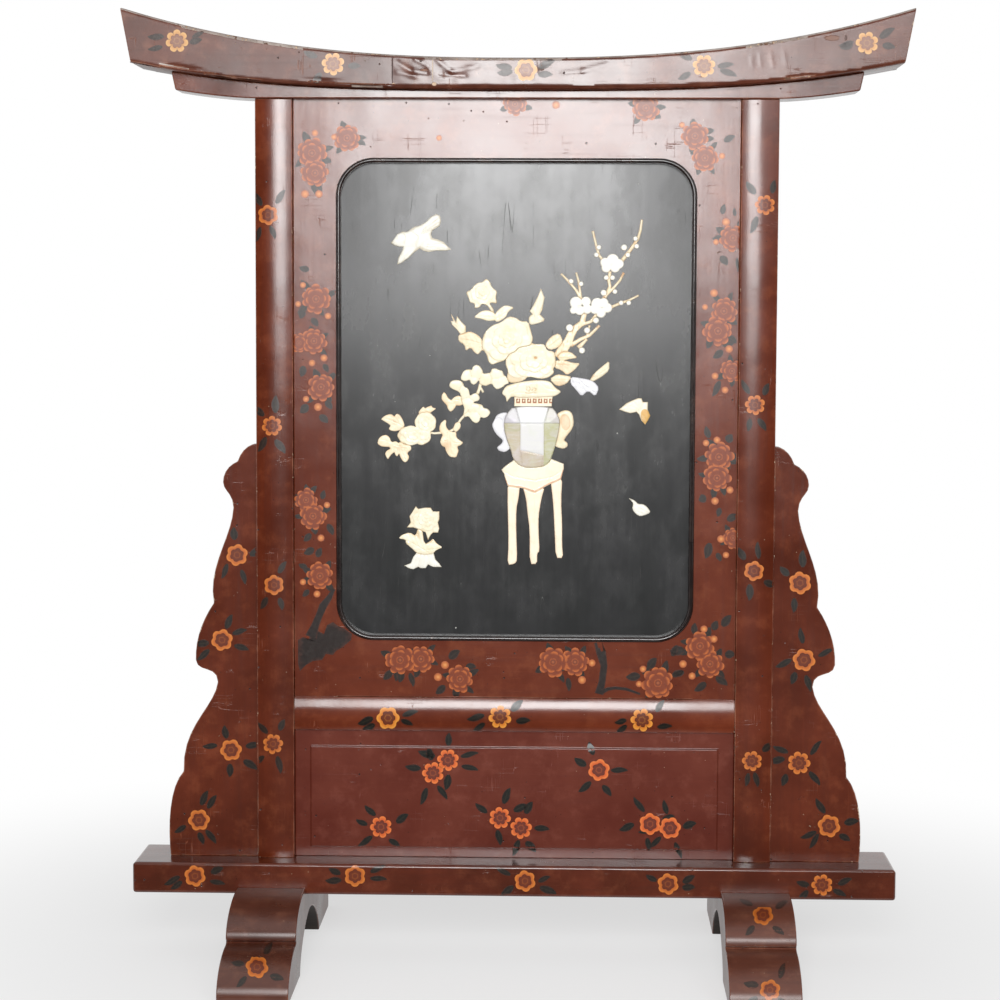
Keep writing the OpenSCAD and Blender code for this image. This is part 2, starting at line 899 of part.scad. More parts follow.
module inlay_leaf_white() {
  color(white_bone) slip(slip_mid) leaf_white_2d();
}

module inlay_bud_right() {
  color(cream_bone) slip(slip_mid) difference() {
    shape([[59, 17], [63, 23], [70, 29], [75, 33], [75, 25], [69, 20], [62, 16]]);
    leaf_white_2d();
  }
}

// Plum tree: three blossoms over a forked twig with round buds.
plum_lobes = [
  [77, 113, 5], [71, 111, 4], [82, 110, 4], [72, 107, 4], [79, 107, 4],
  [48, 79, 5], [56, 80, 4], [46, 73, 3], [51, 73, 4], [57, 74, 4],
  [65, 78, 5], [70, 79, 4], [73, 75, 4], [68, 71, 4], [63, 74, 4]
];
plum_buds = [
  [66, 123, 2], [64, 117, 2], [95, 130, 2], [96, 124, 2], [86, 123, 2.5], [89, 117, 2],
  [72, 99, 2], [77, 99, 2], [70, 87, 2.5], [79, 88, 2], [84, 79, 2], [90, 79, 2],
  [44, 96, 2], [52, 94, 2], [64, 65, 2.5], [43, 59, 3], [57, 57, 2.5], [53, 41, 2.5]
];

module plum_branch_2d() {
  difference() {
    union() {
      twig([[61, 136], [64, 124], [66, 117], [69, 113]], 1.8, 2.2);
      twig([[100, 145], [99, 137], [97, 130], [91, 121], [84, 112]], 1.8, 3);
      twig([[75, 104], [74, 97], [75, 92], [73, 87], [70, 82]], 2.4, 3);
      twig([[86, 103], [83, 97], [78, 91], [73, 86]], 1.8, 2.4);
      twig([[98, 85], [90, 81], [84, 79], [75, 75]], 1.6, 2.4);
      twig([[36, 102], [42, 96], [48, 89], [52, 82]], 1.6, 2.4);
      twig([[48, 103], [50, 96], [51, 89], [52, 82]], 1.6, 2.2);
      twig([[55, 71], [53, 63], [47, 58], [44, 53], [42, 48], [38, 42], [34, 35]], 4, 9);
      twig([[47, 58], [54, 62], [60, 64], [66, 72]], 3, 2.4);
      twig([[44, 45], [52, 50], [59, 53], [63, 57], [67, 61]], 3.4, 2);
      twig([[59, 61], [57, 53]], 1.8, 1.8);
      twig([[43, 59], [46, 56]], 2, 2.4);
      twig([[50, 43], [57, 50]], 4, 1.8);
    }
    leaves_right_2d();
    peony_right_2d();
  }
}

module inlay_plum_branch() {
  color(tan_bone) slip(slip_mid) difference() {
    plum_branch_2d();
    discs(plum_lobes);
    discs(plum_buds);
  }
}

module inlay_plum_blossoms() {
  color(white_bone) slip(slip_mid + lobe_up) {
    discs(plum_lobes);
    discs(plum_buds);
  }
}

// Hanging spray: bent stems that carry ruffled blossoms and lobed leaves.

// A full blossom with a wavy rim.
function ruffle(x, y, rx, ry, waves, turn) = [
  for (q = [0 : 9 : 351])
    let (r = 0.94 + 0.06 * abs(cos(waves / 2 * (q - turn))))
      [x + rx * r * cos(q), y + ry * r * sin(q)]
];

module spray_blossoms_2d() {
  sharp(ruffle(-72.2, -17.5, 8.8, 8.8, 7, 20));
  sharp(ruffle(-84, -27.8, 10.8, 8, 8, 0));
  sharp(ruffle(-75.5, -27.5, 8, 8, 6, 30));
  shape([
    [-44, 19], [-42.5, 23], [-40.5, 25], [-37, 25.5], [-35, 25], [-34.5, 27.5], [-32, 29.2],
    [-29, 28.5], [-26.5, 25], [-26, 22], [-22.5, 22.5], [-20, 23], [-19.2, 26], [-16, 26.5],
    [-13, 25], [-10.5, 24.5], [-9.5, 21], [-7.5, 20], [-5, 14.5], [-8, 13.5], [-10, 11.5],
    [-14.8, 9.3], [-17, 11], [-19, 14], [-21, 13.5], [-23.5, 12.2], [-26.5, 12.8], [-28.8, 14.2],
    [-29.5, 17], [-31, 14.5], [-33.6, 12.9], [-36, 14.5], [-36.6, 17.2], [-40.5, 15.8],
    [-43.5, 17]
  ]);
  shape([
    [-53.3, 13], [-51.8, 16], [-48.5, 17], [-44.7, 16.7], [-42, 14.6], [-41.2, 11.6], [-38, 10.2],
    [-37, 7.5], [-36.6, 4.2], [-33.6, 6.2], [-30.7, 6.8], [-28.2, 2.7], [-30, 0], [-32.9, -0.3],
    [-33.5, -1.5], [-30, -2], [-26.5, -3], [-25.5, -5.4], [-22.5, -5.8], [-19.8, -8.8],
    [-21.8, -12.2], [-24.8, -13.7], [-28, -12.8], [-28.6, -16], [-31, -17.8], [-34.4, -16.6],
    [-36.4, -13.6], [-38, -12], [-40.3, -12.9], [-41.8, -11.4], [-41.4, -8.4], [-41, -5.4],
    [-43, -1], [-43.5, 3], [-44.7, 6.5], [-46, 7.8], [-50, 9.4], [-52.4, 10.8]
  ]);
}

module spray_leaves_2d() {
  difference() {
    union() {
      shape([
        [-108.2, -14.8], [-105, -12], [-101.2, -10.7], [-98.6, -11.3], [-97.5, -12.8],
        [-95.6, -10.3], [-93, -11.2], [-91, -14.3], [-89.7, -17.3], [-89, -20.3], [-92, -23],
        [-94.2, -24], [-97.2, -24.5], [-100, -24], [-102, -22.6], [-100.2, -19.9], [-102.7, -18],
        [-105.6, -16.4]
      ]);
      shape([
        [-111, -34.6], [-110, -30.6], [-107.5, -28.2], [-103.8, -27.3], [-101, -29.5],
        [-99.8, -33.3], [-96, -32.5], [-94, -34], [-92.5, -33], [-89, -35], [-86, -35],
        [-83.8, -36.6], [-83.5, -39.2], [-86, -41], [-86.8, -42.5], [-85.3, -44.7],
        [-86.2, -47.8], [-88.6, -49.8], [-91, -47.8], [-92.7, -44.7], [-93.4, -42.3],
        [-95, -45], [-96.6, -43.3], [-97.2, -41.2], [-99.7, -43.2], [-101, -44.9],
        [-102.4, -47.2], [-104, -44.8], [-104.8, -42.4], [-103.4, -40.2], [-100.4, -38.6],
        [-101, -37.2], [-104, -37], [-107.6, -36.8]
      ]);
      shape([
        [-78, -9.4], [-76.2, -6.8], [-74, -4.4], [-72.6, -6], [-71, -5], [-67.4, -3.6],
        [-66.6, -5.4], [-63.4, -6], [-67, -8.6], [-70, -10.6], [-76.2, -12.4]
      ]);
      shape([
        [-60.8, -20], [-59.6, -17.3], [-56.4, -14.8], [-55.4, -16.2], [-55.9, -19.2],
        [-55, -21.8], [-53, -24], [-50.5, -24.9], [-47.4, -24.6], [-47.4, -29.3],
        [-44, -31.8], [-41.8, -33.4], [-44, -35.6], [-46, -36], [-46.5, -37.4],
        [-45.5, -39.8], [-46.4, -42.6], [-47.5, -45.3], [-52.2, -45], [-54.5, -42.5],
        [-55.9, -39.6], [-56.3, -37.2], [-58.9, -36], [-60.5, -33.2], [-59.6, -29.9],
        [-58.2, -27], [-60.4, -24.9], [-61.2, -22.5]
      ]);
      shape([
        [-57.6, 7.2], [-55.7, 5.7], [-54.3, 2.7], [-51.7, 0.5], [-49.6, 2.8], [-47.6, 4],
        [-45, 4.4], [-42, 2], [-41.7, -2.4], [-44.7, -3.7], [-47.6, -3.3], [-48.3, -5],
        [-50.2, -7.4], [-52.3, -8.8], [-54.4, -5.9], [-54.9, -3.6], [-57.3, -1],
        [-59.3, 1.3], [-59.2, 4.6]
      ]);
      shape([
        [-48.6, -18], [-46.2, -16.6], [-44, -18], [-43.9, -21], [-46, -23.8], [-48, -25],
        [-50.2, -23]
      ]);
    }
    spray_blossoms_2d();
  }
}

module inlay_spray_stems() {
  color(cream_bone) slip(slip_low) difference() {
    union() {
      twig([[-28, 14], [-29.2, 9.4], [-30.5, 6]], 2.4, 2.4);
      twig([[-28.2, 11], [-26.6, 8.6], [-25.9, 7]], 1.8, 1.6);
      twig([[-39, -8], [-41, -11.4], [-44, -15], [-47, -19.5], [-50, -23], [-54, -25]], 1.9, 1.9);
      twig([[-57, -25], [-61, -25.6], [-65, -26], [-70, -25.4]], 2, 1.6);
    }
    spray_blossoms_2d();
    spray_leaves_2d();
  }
}

module inlay_spray_leaves() {
  color(cream_bone) slip(slip_low) spray_leaves_2d();
}

module inlay_spray_blossoms() {
  color(white_bone) slip(slip_mid) difference() {
    spray_blossoms_2d();
    peony_left_2d();
    peony_right_2d();
  }
}

// Two-handled vase with a turned-over collar.
module vase_collar_2d() {
  difference() {
    shape([
      [-11, 7], [-8, 12], [-3, 14], [6, 16], [14, 17], [23, 17], [28, 16], [32, 11],
      [37, 8], [33, 5], [30, 4], [4, 3], [-3, 4], [-5, 2], [-7, -1], [-8, 4], [-10, 5]
    ]);
    peony_right_2d();
    leaves_right_2d();
  }
}

module vase_body_2d() {
  shape([
    [-2, -4], [29, -4], [33, -9], [36, -16], [34, -28], [31, -40], [28, -48], [23, -52],
    [15, -53], [8, -53], [3, -51], [-2, -46], [-4, -38], [-7, -30], [-9, -22],
    [-9, -16], [-7, -10]
  ]);
}

module inlay_vase_collar() {
  color(cream_bone) slip(slip_mid) vase_collar_2d();
}

module inlay_vase_neck() {
  color(tan_bone) slip(slip_low) difference() {
    sharp([[-1, 5], [30, 5], [29, -4], [-1, -4]]);
    vase_collar_2d();
    vase_body_2d();
  }
}

module inlay_vase_body() {
  color(pearl_shell) slip(slip_high) vase_body_2d();
}

module inlay_handle_left() {
  color(white_bone) slip(slip_mid) difference() {
    shape([
      [-6, -9], [-11, -9], [-15, -11], [-17, -15], [-19, -19], [-17, -24], [-14, -28],
      [-10, -31], [-11, -34], [-15, -37], [-13, -40], [-8, -41], [-4, -38], [-3, -32],
      [-4, -20]
    ]);
    vase_body_2d();
  }
}

module inlay_handle_right() {
  color(tan_bone) slip(slip_mid) difference() {
    shape([
      [33, -10], [38, -7], [43, -7], [46, -10], [47, -18], [45, -23], [41, -28],
      [39, -31], [42, -33], [42, -36], [39, -38], [34, -37], [31, -35], [31, -20]
    ]);
    vase_body_2d();
  }
}

// Stand under the vase: a bent top on three legs.
module stand_top_2d() {
  difference() {
    sharp([
      [-11, -55], [-8, -52], [-1, -47], [29, -46], [39, -50], [39, -54], [37, -62],
      [27, -67], [16, -73], [7, -70], [-6, -68], [-8, -62], [-9, -58]
    ]);
    vase_body_2d();
  }
}

module inlay_stand_top() {
  color(cream_bone) slip(slip_mid) stand_top_2d();
}

module inlay_stand_legs() {
  color(cream_bone) slip(slip_low) difference() {
    union() {
      shape([
        [-6, -66], [4, -66], [3, -77], [1, -87], [1, -104], [2, -128], [0, -131],
        [-6, -132], [-5, -115], [-6, -81]
      ]);
      shape([
        [6, -68], [24, -68], [21, -79], [19, -92], [19, -104], [20, -121], [18, -122],
        [18, -131], [12, -131], [12, -104], [10, -89], [9, -79]
      ]);
      shape([
        [28, -60], [38, -60], [37, -80], [38, -98], [38, -115], [39, -126], [33, -126],
        [32, -104], [31, -86], [30, -75]
      ]);
    }
    stand_top_2d();
  }
}

// Flower in a bell-shaped pot at the lower left.
module pot_flower_2d() {
  sharp([
    [-80, -85], [-78, -87], [-73, -86], [-68, -86], [-66, -89], [-61, -89], [-61, -95],
    [-62, -98], [-61, -103], [-62, -106], [-66, -106], [-68, -108], [-70, -112],
    [-72, -106], [-76, -104], [-82, -102], [-87, -102], [-84, -98], [-85, -93], [-83, -90]
  ]);
}

module pot_leaves_2d() {
  difference() {
    shape([
      [-78, -102], [-75, -102], [-73, -116], [-68, -113], [-66, -111], [-63, -115],
      [-58, -118], [-63, -120], [-66, -123], [-72, -124], [-79, -123], [-83, -119],
      [-88, -115], [-88, -112], [-94, -111], [-91, -108], [-85, -106], [-80, -109]
    ]);
    pot_flower_2d();
  }
}

module inlay_pot_flower() {
  color(cream_bone) slip(slip_mid) pot_flower_2d();
}

module inlay_pot_leaves() {
  color(cream_bone) slip(slip_low) pot_leaves_2d();
}

module inlay_pot() {
  color(white_bone) slip(slip_mid) difference() {
    sharp([
      [-78, -121], [-66, -121], [-64, -128], [-61, -131], [-59, -134], [-66, -134],
      [-70, -132], [-72, -135], [-76, -135], [-78, -134], [-82, -136], [-86, -135],
      [-89, -133], [-84, -131], [-82, -126]
    ]);
    pot_leaves_2d();
  }
}

module inlay_butterfly() {
  color(white_bone) slip(slip_mid) {
    sharp([
      [83, -6], [89, -1], [93, 1], [98, 3], [101, 3], [102, 0], [106, 0], [106, -6],
      [108, -11], [106, -15], [104, -18], [101, -15], [99, -10], [97, -8], [92, -9], [88, -8]
    ]);
  }
}

module inlay_petal() {
  color(white_bone) slip(slip_mid) shape([
    [91, -77], [96, -79], [99, -82], [103, -82], [106, -84], [109, -88], [107, -90],
    [101, -92], [97, -90], [94, -86], [95, -82], [94, -80]
  ]);
}

// drawing

foot_left();
foot_right();
base_rail();
post_left();
post_right();
bracket_left();
bracket_right();
apron_panel();
mid_rail();
frame_stile_left();
frame_stile_right();
frame_rail_bottom();
frame_rail_top();
bead_upper();
bead_lower();
picture_board();
backing_board();
batten_bottom();
batten_top();
batten_left();
batten_right();
batten_pins();
cap_lower();
cap_upper();
foot_dowels();
cap_dowels();
inlay_bird();
inlay_rose();
inlay_rose_leaves();
inlay_bud_left();
inlay_leaf_left();
inlay_peony_left();
inlay_peony_right();
inlay_bud_upper();
inlay_leaves_right();
inlay_leaf_white();
inlay_bud_right();
inlay_plum_branch();
inlay_plum_blossoms();
inlay_spray_stems();
inlay_spray_leaves();
inlay_spray_blossoms();
inlay_vase_collar();
inlay_vase_neck();
inlay_vase_body();
inlay_handle_left();
inlay_handle_right();
inlay_stand_top();
inlay_stand_legs();
inlay_pot_flower();
inlay_pot_leaves();
inlay_pot();
inlay_butterfly();
inlay_petal();
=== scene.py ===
"""Table screen of lacquered wood with a bone and shell picture: looks round the CAD frame."""
import math
import random

import bmesh
import bpy
import numpy as np
from mathutils import Matrix, Vector, noise
from mathutils.bvhtree import BVHTree
from mathutils.geometry import delaunay_2d_cdt


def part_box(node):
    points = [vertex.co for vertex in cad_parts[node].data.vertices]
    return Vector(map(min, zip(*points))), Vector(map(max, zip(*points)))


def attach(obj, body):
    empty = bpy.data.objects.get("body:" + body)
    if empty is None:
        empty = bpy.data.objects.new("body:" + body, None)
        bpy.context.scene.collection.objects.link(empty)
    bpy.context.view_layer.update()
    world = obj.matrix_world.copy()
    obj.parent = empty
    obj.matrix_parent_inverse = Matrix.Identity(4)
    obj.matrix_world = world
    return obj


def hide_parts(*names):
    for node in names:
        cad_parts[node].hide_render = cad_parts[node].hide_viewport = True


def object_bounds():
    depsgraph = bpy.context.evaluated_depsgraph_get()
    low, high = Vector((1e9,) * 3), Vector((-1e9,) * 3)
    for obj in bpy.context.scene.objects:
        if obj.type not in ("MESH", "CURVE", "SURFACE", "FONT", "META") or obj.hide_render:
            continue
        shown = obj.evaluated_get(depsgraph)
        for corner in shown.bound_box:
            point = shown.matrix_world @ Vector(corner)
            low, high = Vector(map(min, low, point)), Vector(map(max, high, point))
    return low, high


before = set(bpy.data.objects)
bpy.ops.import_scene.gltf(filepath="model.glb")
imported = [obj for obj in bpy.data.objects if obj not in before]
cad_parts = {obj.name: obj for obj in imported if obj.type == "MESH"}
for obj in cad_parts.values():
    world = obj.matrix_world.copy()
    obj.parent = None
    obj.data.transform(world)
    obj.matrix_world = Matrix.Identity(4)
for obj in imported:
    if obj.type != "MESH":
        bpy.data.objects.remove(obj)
cad_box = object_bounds()

MM = 0.001
METRE = 1000.0  # in mm
OPENING_MID = 452.45  # height of the picture's centre, mm

# ---------------------------------------------------------------- camera

PICTURE_SIZE, FOCAL = 1000.0, 2400.0  # in pixels
PICTURE_MID = PICTURE_SIZE / 2
CAMERA_AT = Vector((0.0445, -1.92535, 0.52972))
YAW, PITCH, ROLL = (math.radians(a) for a in (1.6848, 4.6540, 0.2187))

ahead = Vector((
    -math.sin(YAW) * math.cos(PITCH), math.cos(YAW) * math.cos(PITCH), -math.sin(PITCH)
))
level = Vector((math.cos(YAW), math.sin(YAW), 0.0))
rise = level.cross(ahead)
rightward = level * math.cos(ROLL) + rise * math.sin(ROLL)
upward = rise * math.cos(ROLL) - level * math.sin(ROLL)


def sight(px, py):
    """Direction from the camera through a pixel."""
    return (ahead * FOCAL + rightward * (px - PICTURE_MID)
            - upward * (py - PICTURE_MID)).normalized()


def on_plane(px, py, y):
    """The point in mm where the sight line through a pixel meets a plane facing the front."""
    way = sight(px, py)
    spot = CAMERA_AT + way * ((y * MM - CAMERA_AT.y) / way.y)
    return spot / MM


# ---------------------------------------------------------------- materials

# Colours are red, green and blue on the usual 0 to 255 scale.
PRIMER = (196, 168, 140)  # pale ground under the lacquer
BARE_WOOD = (92, 58, 36)
UNDER_PAINT = (102, 46, 26)  # the lacquer under worn flowers
LACQUER_IOR = 1.54
NOISE_MIDDLE = 0.5
MARKS_FRONT = (-8.0, -12.0)  # Y in mm between which local damage sets in


def paint(*colour):
    """A colour as the shaders take it."""
    def linear(c):
        c = c / 255.0
        return c / 12.92 if c <= 0.04045 else ((c + 0.055) / 1.055) ** 2.4
    return (*(linear(c) for c in colour), 1.0)


class Wire:
    """A socket's value, on which sums are written as Python expressions."""

    def __init__(self, finish, socket):
        self.finish, self.socket = finish, socket

    def sum(self, operation, *others):
        return self.finish.node("ShaderNodeMath", {"operation": operation},
                                dict(enumerate((self,) + others)))

    def __add__(self, other): return self.sum("ADD", other)
    def __radd__(self, other): return self.sum("ADD", other)
    def __mul__(self, other): return self.sum("MULTIPLY", other)
    def __rmul__(self, other): return self.sum("MULTIPLY", other)
    def __sub__(self, other): return self.sum("SUBTRACT", other)
    def __pow__(self, other): return self.sum("POWER", other)
    def __truediv__(self, other): return self.sum("DIVIDE", other)

    def __rsub__(self, other):
        return self.finish.node(
            "ShaderNodeMath", {"operation": "SUBTRACT"}, {0: other, 1: self})

    def over(self, low, high):
        """0 below low, 1 above high, smooth between them (or falling if high < low)."""
        return self.finish.node(
            "ShaderNodeMapRange", {"interpolation_type": "SMOOTHSTEP"},
            {"Value": self, "From Min": low, "From Max": high, "To Min": 0.0, "To Max": 1.0})

    def top(self, other): return self.sum("MAXIMUM", other)
    def size(self): return self.sum("ABSOLUTE")
    def swing(self): return self - NOISE_MIDDLE

    def hairline(self, width):
        """A fine line wherever a noise passes its middle."""
        return self.swing().size().over(width, 0.0)


class Finish:
    """A procedural material, or the world's look, built node by node."""

    def __init__(self, name, shelf="materials"):
        self.material = getattr(bpy.data, shelf).new(name)
        self.material.use_nodes = True
        self.tree = self.material.node_tree
        self.tree.nodes.clear()
        self._place = None

    def node(self, kind, settings=None, inputs=None, out=0):
        made = self.tree.nodes.new(kind)
        for key, value in (settings or {}).items():
            setattr(made, key, value)
        for key, value in (inputs or {}).items():
            socket = made.inputs[key]
            if isinstance(value, Wire):
                self.tree.links.new(value.socket, socket)
            else:
                socket.default_value = value
        return Wire(self, made.outputs[out])

    def place(self):
        if self._place is None:
            self._place = self.node("ShaderNodeTexCoord", out="Object")
        return self._place

    def axis(self, letter):
        """X, Y or Z in mm."""
        return self.node("ShaderNodeSeparateXYZ", {}, {0: self.place()}, out=letter) * METRE

    def moved(self, stretch=(1, 1, 1), turn=(0, 0, 0), shift=(0, 0, 0)):
        return self.node("ShaderNodeMapping", {}, {
            "Vector": self.place(), "Scale": stretch, "Rotation": turn, "Location": shift})

    def cloud(self, size, detail=3.0, rough=0.55, stretch=(1, 1, 1), turn=(0, 0, 0),
              shift=(0, 0, 0), bend=0.0):
        """Noise whose blobs are about size mm, drawn out along each axis by 1 / stretch."""
        return self.node("ShaderNodeTexNoise", {}, {
            "Vector": self.moved(stretch, turn, shift), "Scale": METRE / size,
            "Detail": detail, "Roughness": rough, "Distortion": bend})

    def specks(self, size, dot, share, shift=(0, 0, 0)):
        """Round dots of radius dot (as a share of a cell) in some of the cells."""
        distance, colour = (self.node("ShaderNodeTexVoronoi", {}, {
            "Vector": self.moved(shift=shift), "Scale": METRE / size}, out=out)
            for out in ("Distance", "Color"))
        lot = self.node("ShaderNodeSeparateColor", {}, {0: colour})
        return distance.over(dot, dot * 0.5) * lot.over(share, share - 0.02)

    def patch(self, x, z, rx, rz, ragged=0.35):
        """A ragged oval mark around a place on the front, in mm."""
        across = (self.axis("X") - x) / rx
        along = (self.axis("Z") - z) / rz
        away = (across * across + along * along) ** 0.5
        rough_edge = self.cloud(5.0, detail=4.0, rough=0.65).swing() * (2.0 * ragged)
        return (away + rough_edge).over(1.0, 0.8) * self.axis("Y").over(*MARKS_FRONT)

    def attribute(self, name, out="Fac"):
        return self.node("ShaderNodeAttribute", {"attribute_name": name}, out=out)

    def mix(self, factor, *colours):
        """Goes from the first colour to the second. Each is a wire or a colour."""
        a, b = (c if isinstance(c, Wire) else paint(*c) for c in colours)
        return self.node("ShaderNodeMix", {"data_type": "RGBA", "clamp_factor": True},
                         {0: factor, 6: a, 7: b}, out=2)

    def bump(self, height, depth, under=None):
        """Bumps of about depth mm between heights 0 and 1."""
        inputs = {"Height": height, "Strength": 1.0, "Distance": depth * MM}
        if under is not None:
            inputs["Normal"] = under
        return self.node("ShaderNodeBump", {}, inputs)

    def surface(self, **sockets):
        return self.end(self.node("ShaderNodeBsdfPrincipled", {}, {
            key.replace("_", " "): value for key, value in sockets.items()}))

    def end(self, shader, kind="ShaderNodeOutputMaterial"):
        output = self.tree.nodes.new(kind)
        self.tree.links.new(shader.socket, output.inputs["Surface"])
        return self.material


def drawn_out(along, by):
    """The stretch that draws noise out along one axis."""
    return tuple(by if letter == along else 1 for letter in "XYZ")


def lacquer(name, body, deep, bloom, along="Z", worn=0.0, gloss=(0.17, 0.23), marks=(),
            streak_share=0.35, dull=None):
    """Old glossy lacquer: clouded colour, streaks, pits, dust, fine scratches and chips.
    marks holds (x, z, rx, rz, colour) of local damage, in mm. worn is 0 to 1. dull gives
    from which x to which x the shine fades away."""
    f = Finish(name)
    thin = drawn_out(along, 0.05)
    clouds = f.cloud(70.0, detail=4.0, rough=0.6)
    fine_clouds = f.cloud(14.0, detail=4.0, rough=0.6, shift=(0.3, 0.1, 0.2))
    streaks = f.cloud(5.0, detail=5.0, rough=0.62, stretch=thin)
    hairs = f.cloud(1.6, detail=3.0, rough=0.7, stretch=thin, shift=(0.5, 0.2, 0.7))
    colour = f.mix(clouds.over(0.26, 0.76), deep, body)
    colour = f.mix(fine_clouds.over(0.45, 0.75) * 0.20, colour, bloom)
    colour = f.mix(streaks.over(0.42, 0.72) * streak_share, colour, deep)
    colour = f.mix(hairs.over(0.62, 0.75) * 0.16, colour, bloom)
    pits = f.specks(9.0, dot=0.10, share=0.30)
    small_pits = f.specks(4.0, dot=0.11, share=0.16, shift=(0.11, 0.37, 0.05))
    dust = f.specks(6.5, dot=0.07, share=0.14, shift=(0.21, 0.07, 0.4))
    colour = f.mix(pits.top(small_pits) * 0.9, colour, (22, 11, 9))
    colour = f.mix(dust * 0.55, colour, PRIMER)
    scratch_a = f.cloud(9.0, detail=2.0, rough=0.5, stretch=(1.3, 1, 0.045), turn=(0, 0.5, 0))
    scratch_b = f.cloud(8.0, detail=2.0, rough=0.5, stretch=(0.05, 1, 1.5), turn=(0, 0.22, 0))
    line_a = scratch_a.hairline(0.006)
    line_b = scratch_b.hairline(0.005)
    broken = f.cloud(26.0, detail=2.0, rough=0.5, shift=(0.9, 0.4, 0.1)).over(0.58, 0.66)
    scratches = line_a.top(line_b) * broken
    colour = f.mix(scratches * 0.42, colour, bloom)
    chip_noise = f.cloud(3.2, detail=5.0, rough=0.7, shift=(0.17, 0.6, 0.3))
    where = f.cloud(34.0, detail=2.0, rough=0.5, shift=(0.7, 0.7, 0.1))
    limit = 0.74 - 0.20 * worn
    chips = (chip_noise + where.swing() * 0.30).over(limit, limit + 0.02)
    rub = (fine_clouds + clouds * 0.4).over(0.72 - 0.25 * worn, 0.95)
    colour = f.mix(rub * (0.10 + 0.45 * worn), colour, bloom)
    colour = f.mix(chips, colour, f.mix(fine_clouds.over(0.45, 0.55), PRIMER, BARE_WOOD))
    damage = None
    for x, z, rx, rz, shade in marks:
        spot = f.patch(x, z, rx, rz)
        colour = f.mix(spot * 0.9, colour, shade)
        damage = spot if damage is None else damage.top(spot)
    rough = gloss[0] + (gloss[1] - gloss[0]) * clouds.over(0.3, 0.7)
    rough = rough + streaks.over(0.5, 0.8) * 0.04 + scratches * 0.12 + chips * 0.35
    if damage is not None:
        rough = rough + damage * 0.3
    if dull:
        rough = rough + f.axis("X").over(*dull) * 0.13
    wave = f.cloud(38.0, detail=1.0, rough=0.4, shift=(0.2, 0.9, 0.6))
    peel = f.cloud(3.5, detail=2.0, rough=0.5)
    normal = f.bump(wave, depth=0.35)
    normal = f.bump(peel * 0.35 + streaks * 0.65, depth=0.06, under=normal)
    sunk = chips.top(pits) + scratches * 0.25
    if damage is not None:
        sunk = sunk + damage * 0.8
    normal = f.bump(1.0 - sunk, depth=0.22, under=normal)
    return f.surface(Base_Color=colour, Roughness=rough, Normal=normal, IOR=LACQUER_IOR)


def black_board(name):
    f = Finish(name)
    strokes = f.cloud(6.0, detail=5.0, rough=0.65, stretch=(1, 1, 0.06))
    patches = f.cloud(60.0, detail=4.0, rough=0.6)
    haze_and_painted_sheen = f.cloud(26.0, detail=4.0, rough=0.65, stretch=(1, 1, 0.6), shift=(0.3, 0, 0.1))
    # The pale haze grows towards the top: partly haze on the board, partly a painted sheen where
    # the lamp's shine falls on the upper board.
    high = f.axis("Z").over(300.0, 650.0)
    colour = f.mix(patches.over(0.3, 0.7), (32, 33, 33), (39, 39, 40))
    colour = f.mix(strokes.over(0.45, 0.7) * 0.10, colour, (52, 53, 52))
    colour = f.mix(haze_and_painted_sheen.over(0.46, 0.68) * (0.02 + high * 0.22), colour, (92, 92, 89))
    fine_dust = f.specks(7.0, dot=0.06, share=0.07, shift=(0.3, 0.3, 0.9))
    dust = f.specks(16.0, dot=0.05, share=0.16).top(fine_dust)
    colour = f.mix(dust * 0.6, colour, (186, 186, 178))
    scratch = f.cloud(11.0, detail=1.0, rough=0.4, stretch=(0.9, 1, 0.05), turn=(0, 0.9, 0))
    broken = f.cloud(30.0, detail=1.0, rough=0.5, shift=(0.9, 0.4, 0.1)).over(0.60, 0.68)
    lines = scratch.hairline(0.004) * broken
    colour = f.mix(lines * 0.3, colour, (120, 120, 116))
    rough = 0.22 + haze_and_painted_sheen.over(0.40, 0.66) * 0.05 + strokes.over(0.35, 0.75) * 0.02
    rough = rough + f.axis("X").size().over(50.0, 150.0) * f.axis("Z").over(470.0, 630.0) * 0.13
    normal = f.bump(strokes, depth=0.02)
    normal = f.bump(1.0 - lines - dust, depth=0.06, under=normal)
    return f.surface(Base_Color=colour, Roughness=rough, Normal=normal)


def bone(name, body, shade, stain, rough=0.42):
    """Cut bone: hollows darkened, partly dirt and partly painted shade; stains come from the
    carver's dye, grain runs upright.
    """
    f = Finish(name)
    relief = f.attribute("relief")
    dyed = f.attribute("stain")
    grain = f.cloud(1.3, detail=4.0, rough=0.6, stretch=(1, 1, 0.12), turn=(0, 0.35, 0))
    mottle = f.cloud(7.0, detail=4.0, rough=0.6)
    colour = f.mix(mottle.over(0.40, 0.70) * 0.45, body, shade)
    colour = f.mix(grain.over(0.50, 0.74) * 0.22, colour, shade)
    # Hollows darken towards a stained shade: partly dirt, partly painted shade that brings out the
    # carving.
    hollow = relief.over(0.62, 0.12)
    colour = f.mix(hollow * 0.80, colour, f.mix(0.60, shade, stain))
    colour = f.mix((dyed + mottle.swing() * 0.9 * dyed).over(0.15, 0.95), colour, stain)
    pores = f.specks(1.7, dot=0.14, share=0.16)
    colour = f.mix(pores * 0.28, colour, stain)
    normal = f.bump(grain * 0.6 + mottle * 0.4, depth=0.05)
    return f.surface(Base_Color=colour, Roughness=rough + grain.swing() * 0.2,
                     Normal=normal, Coat_Weight=0.12)


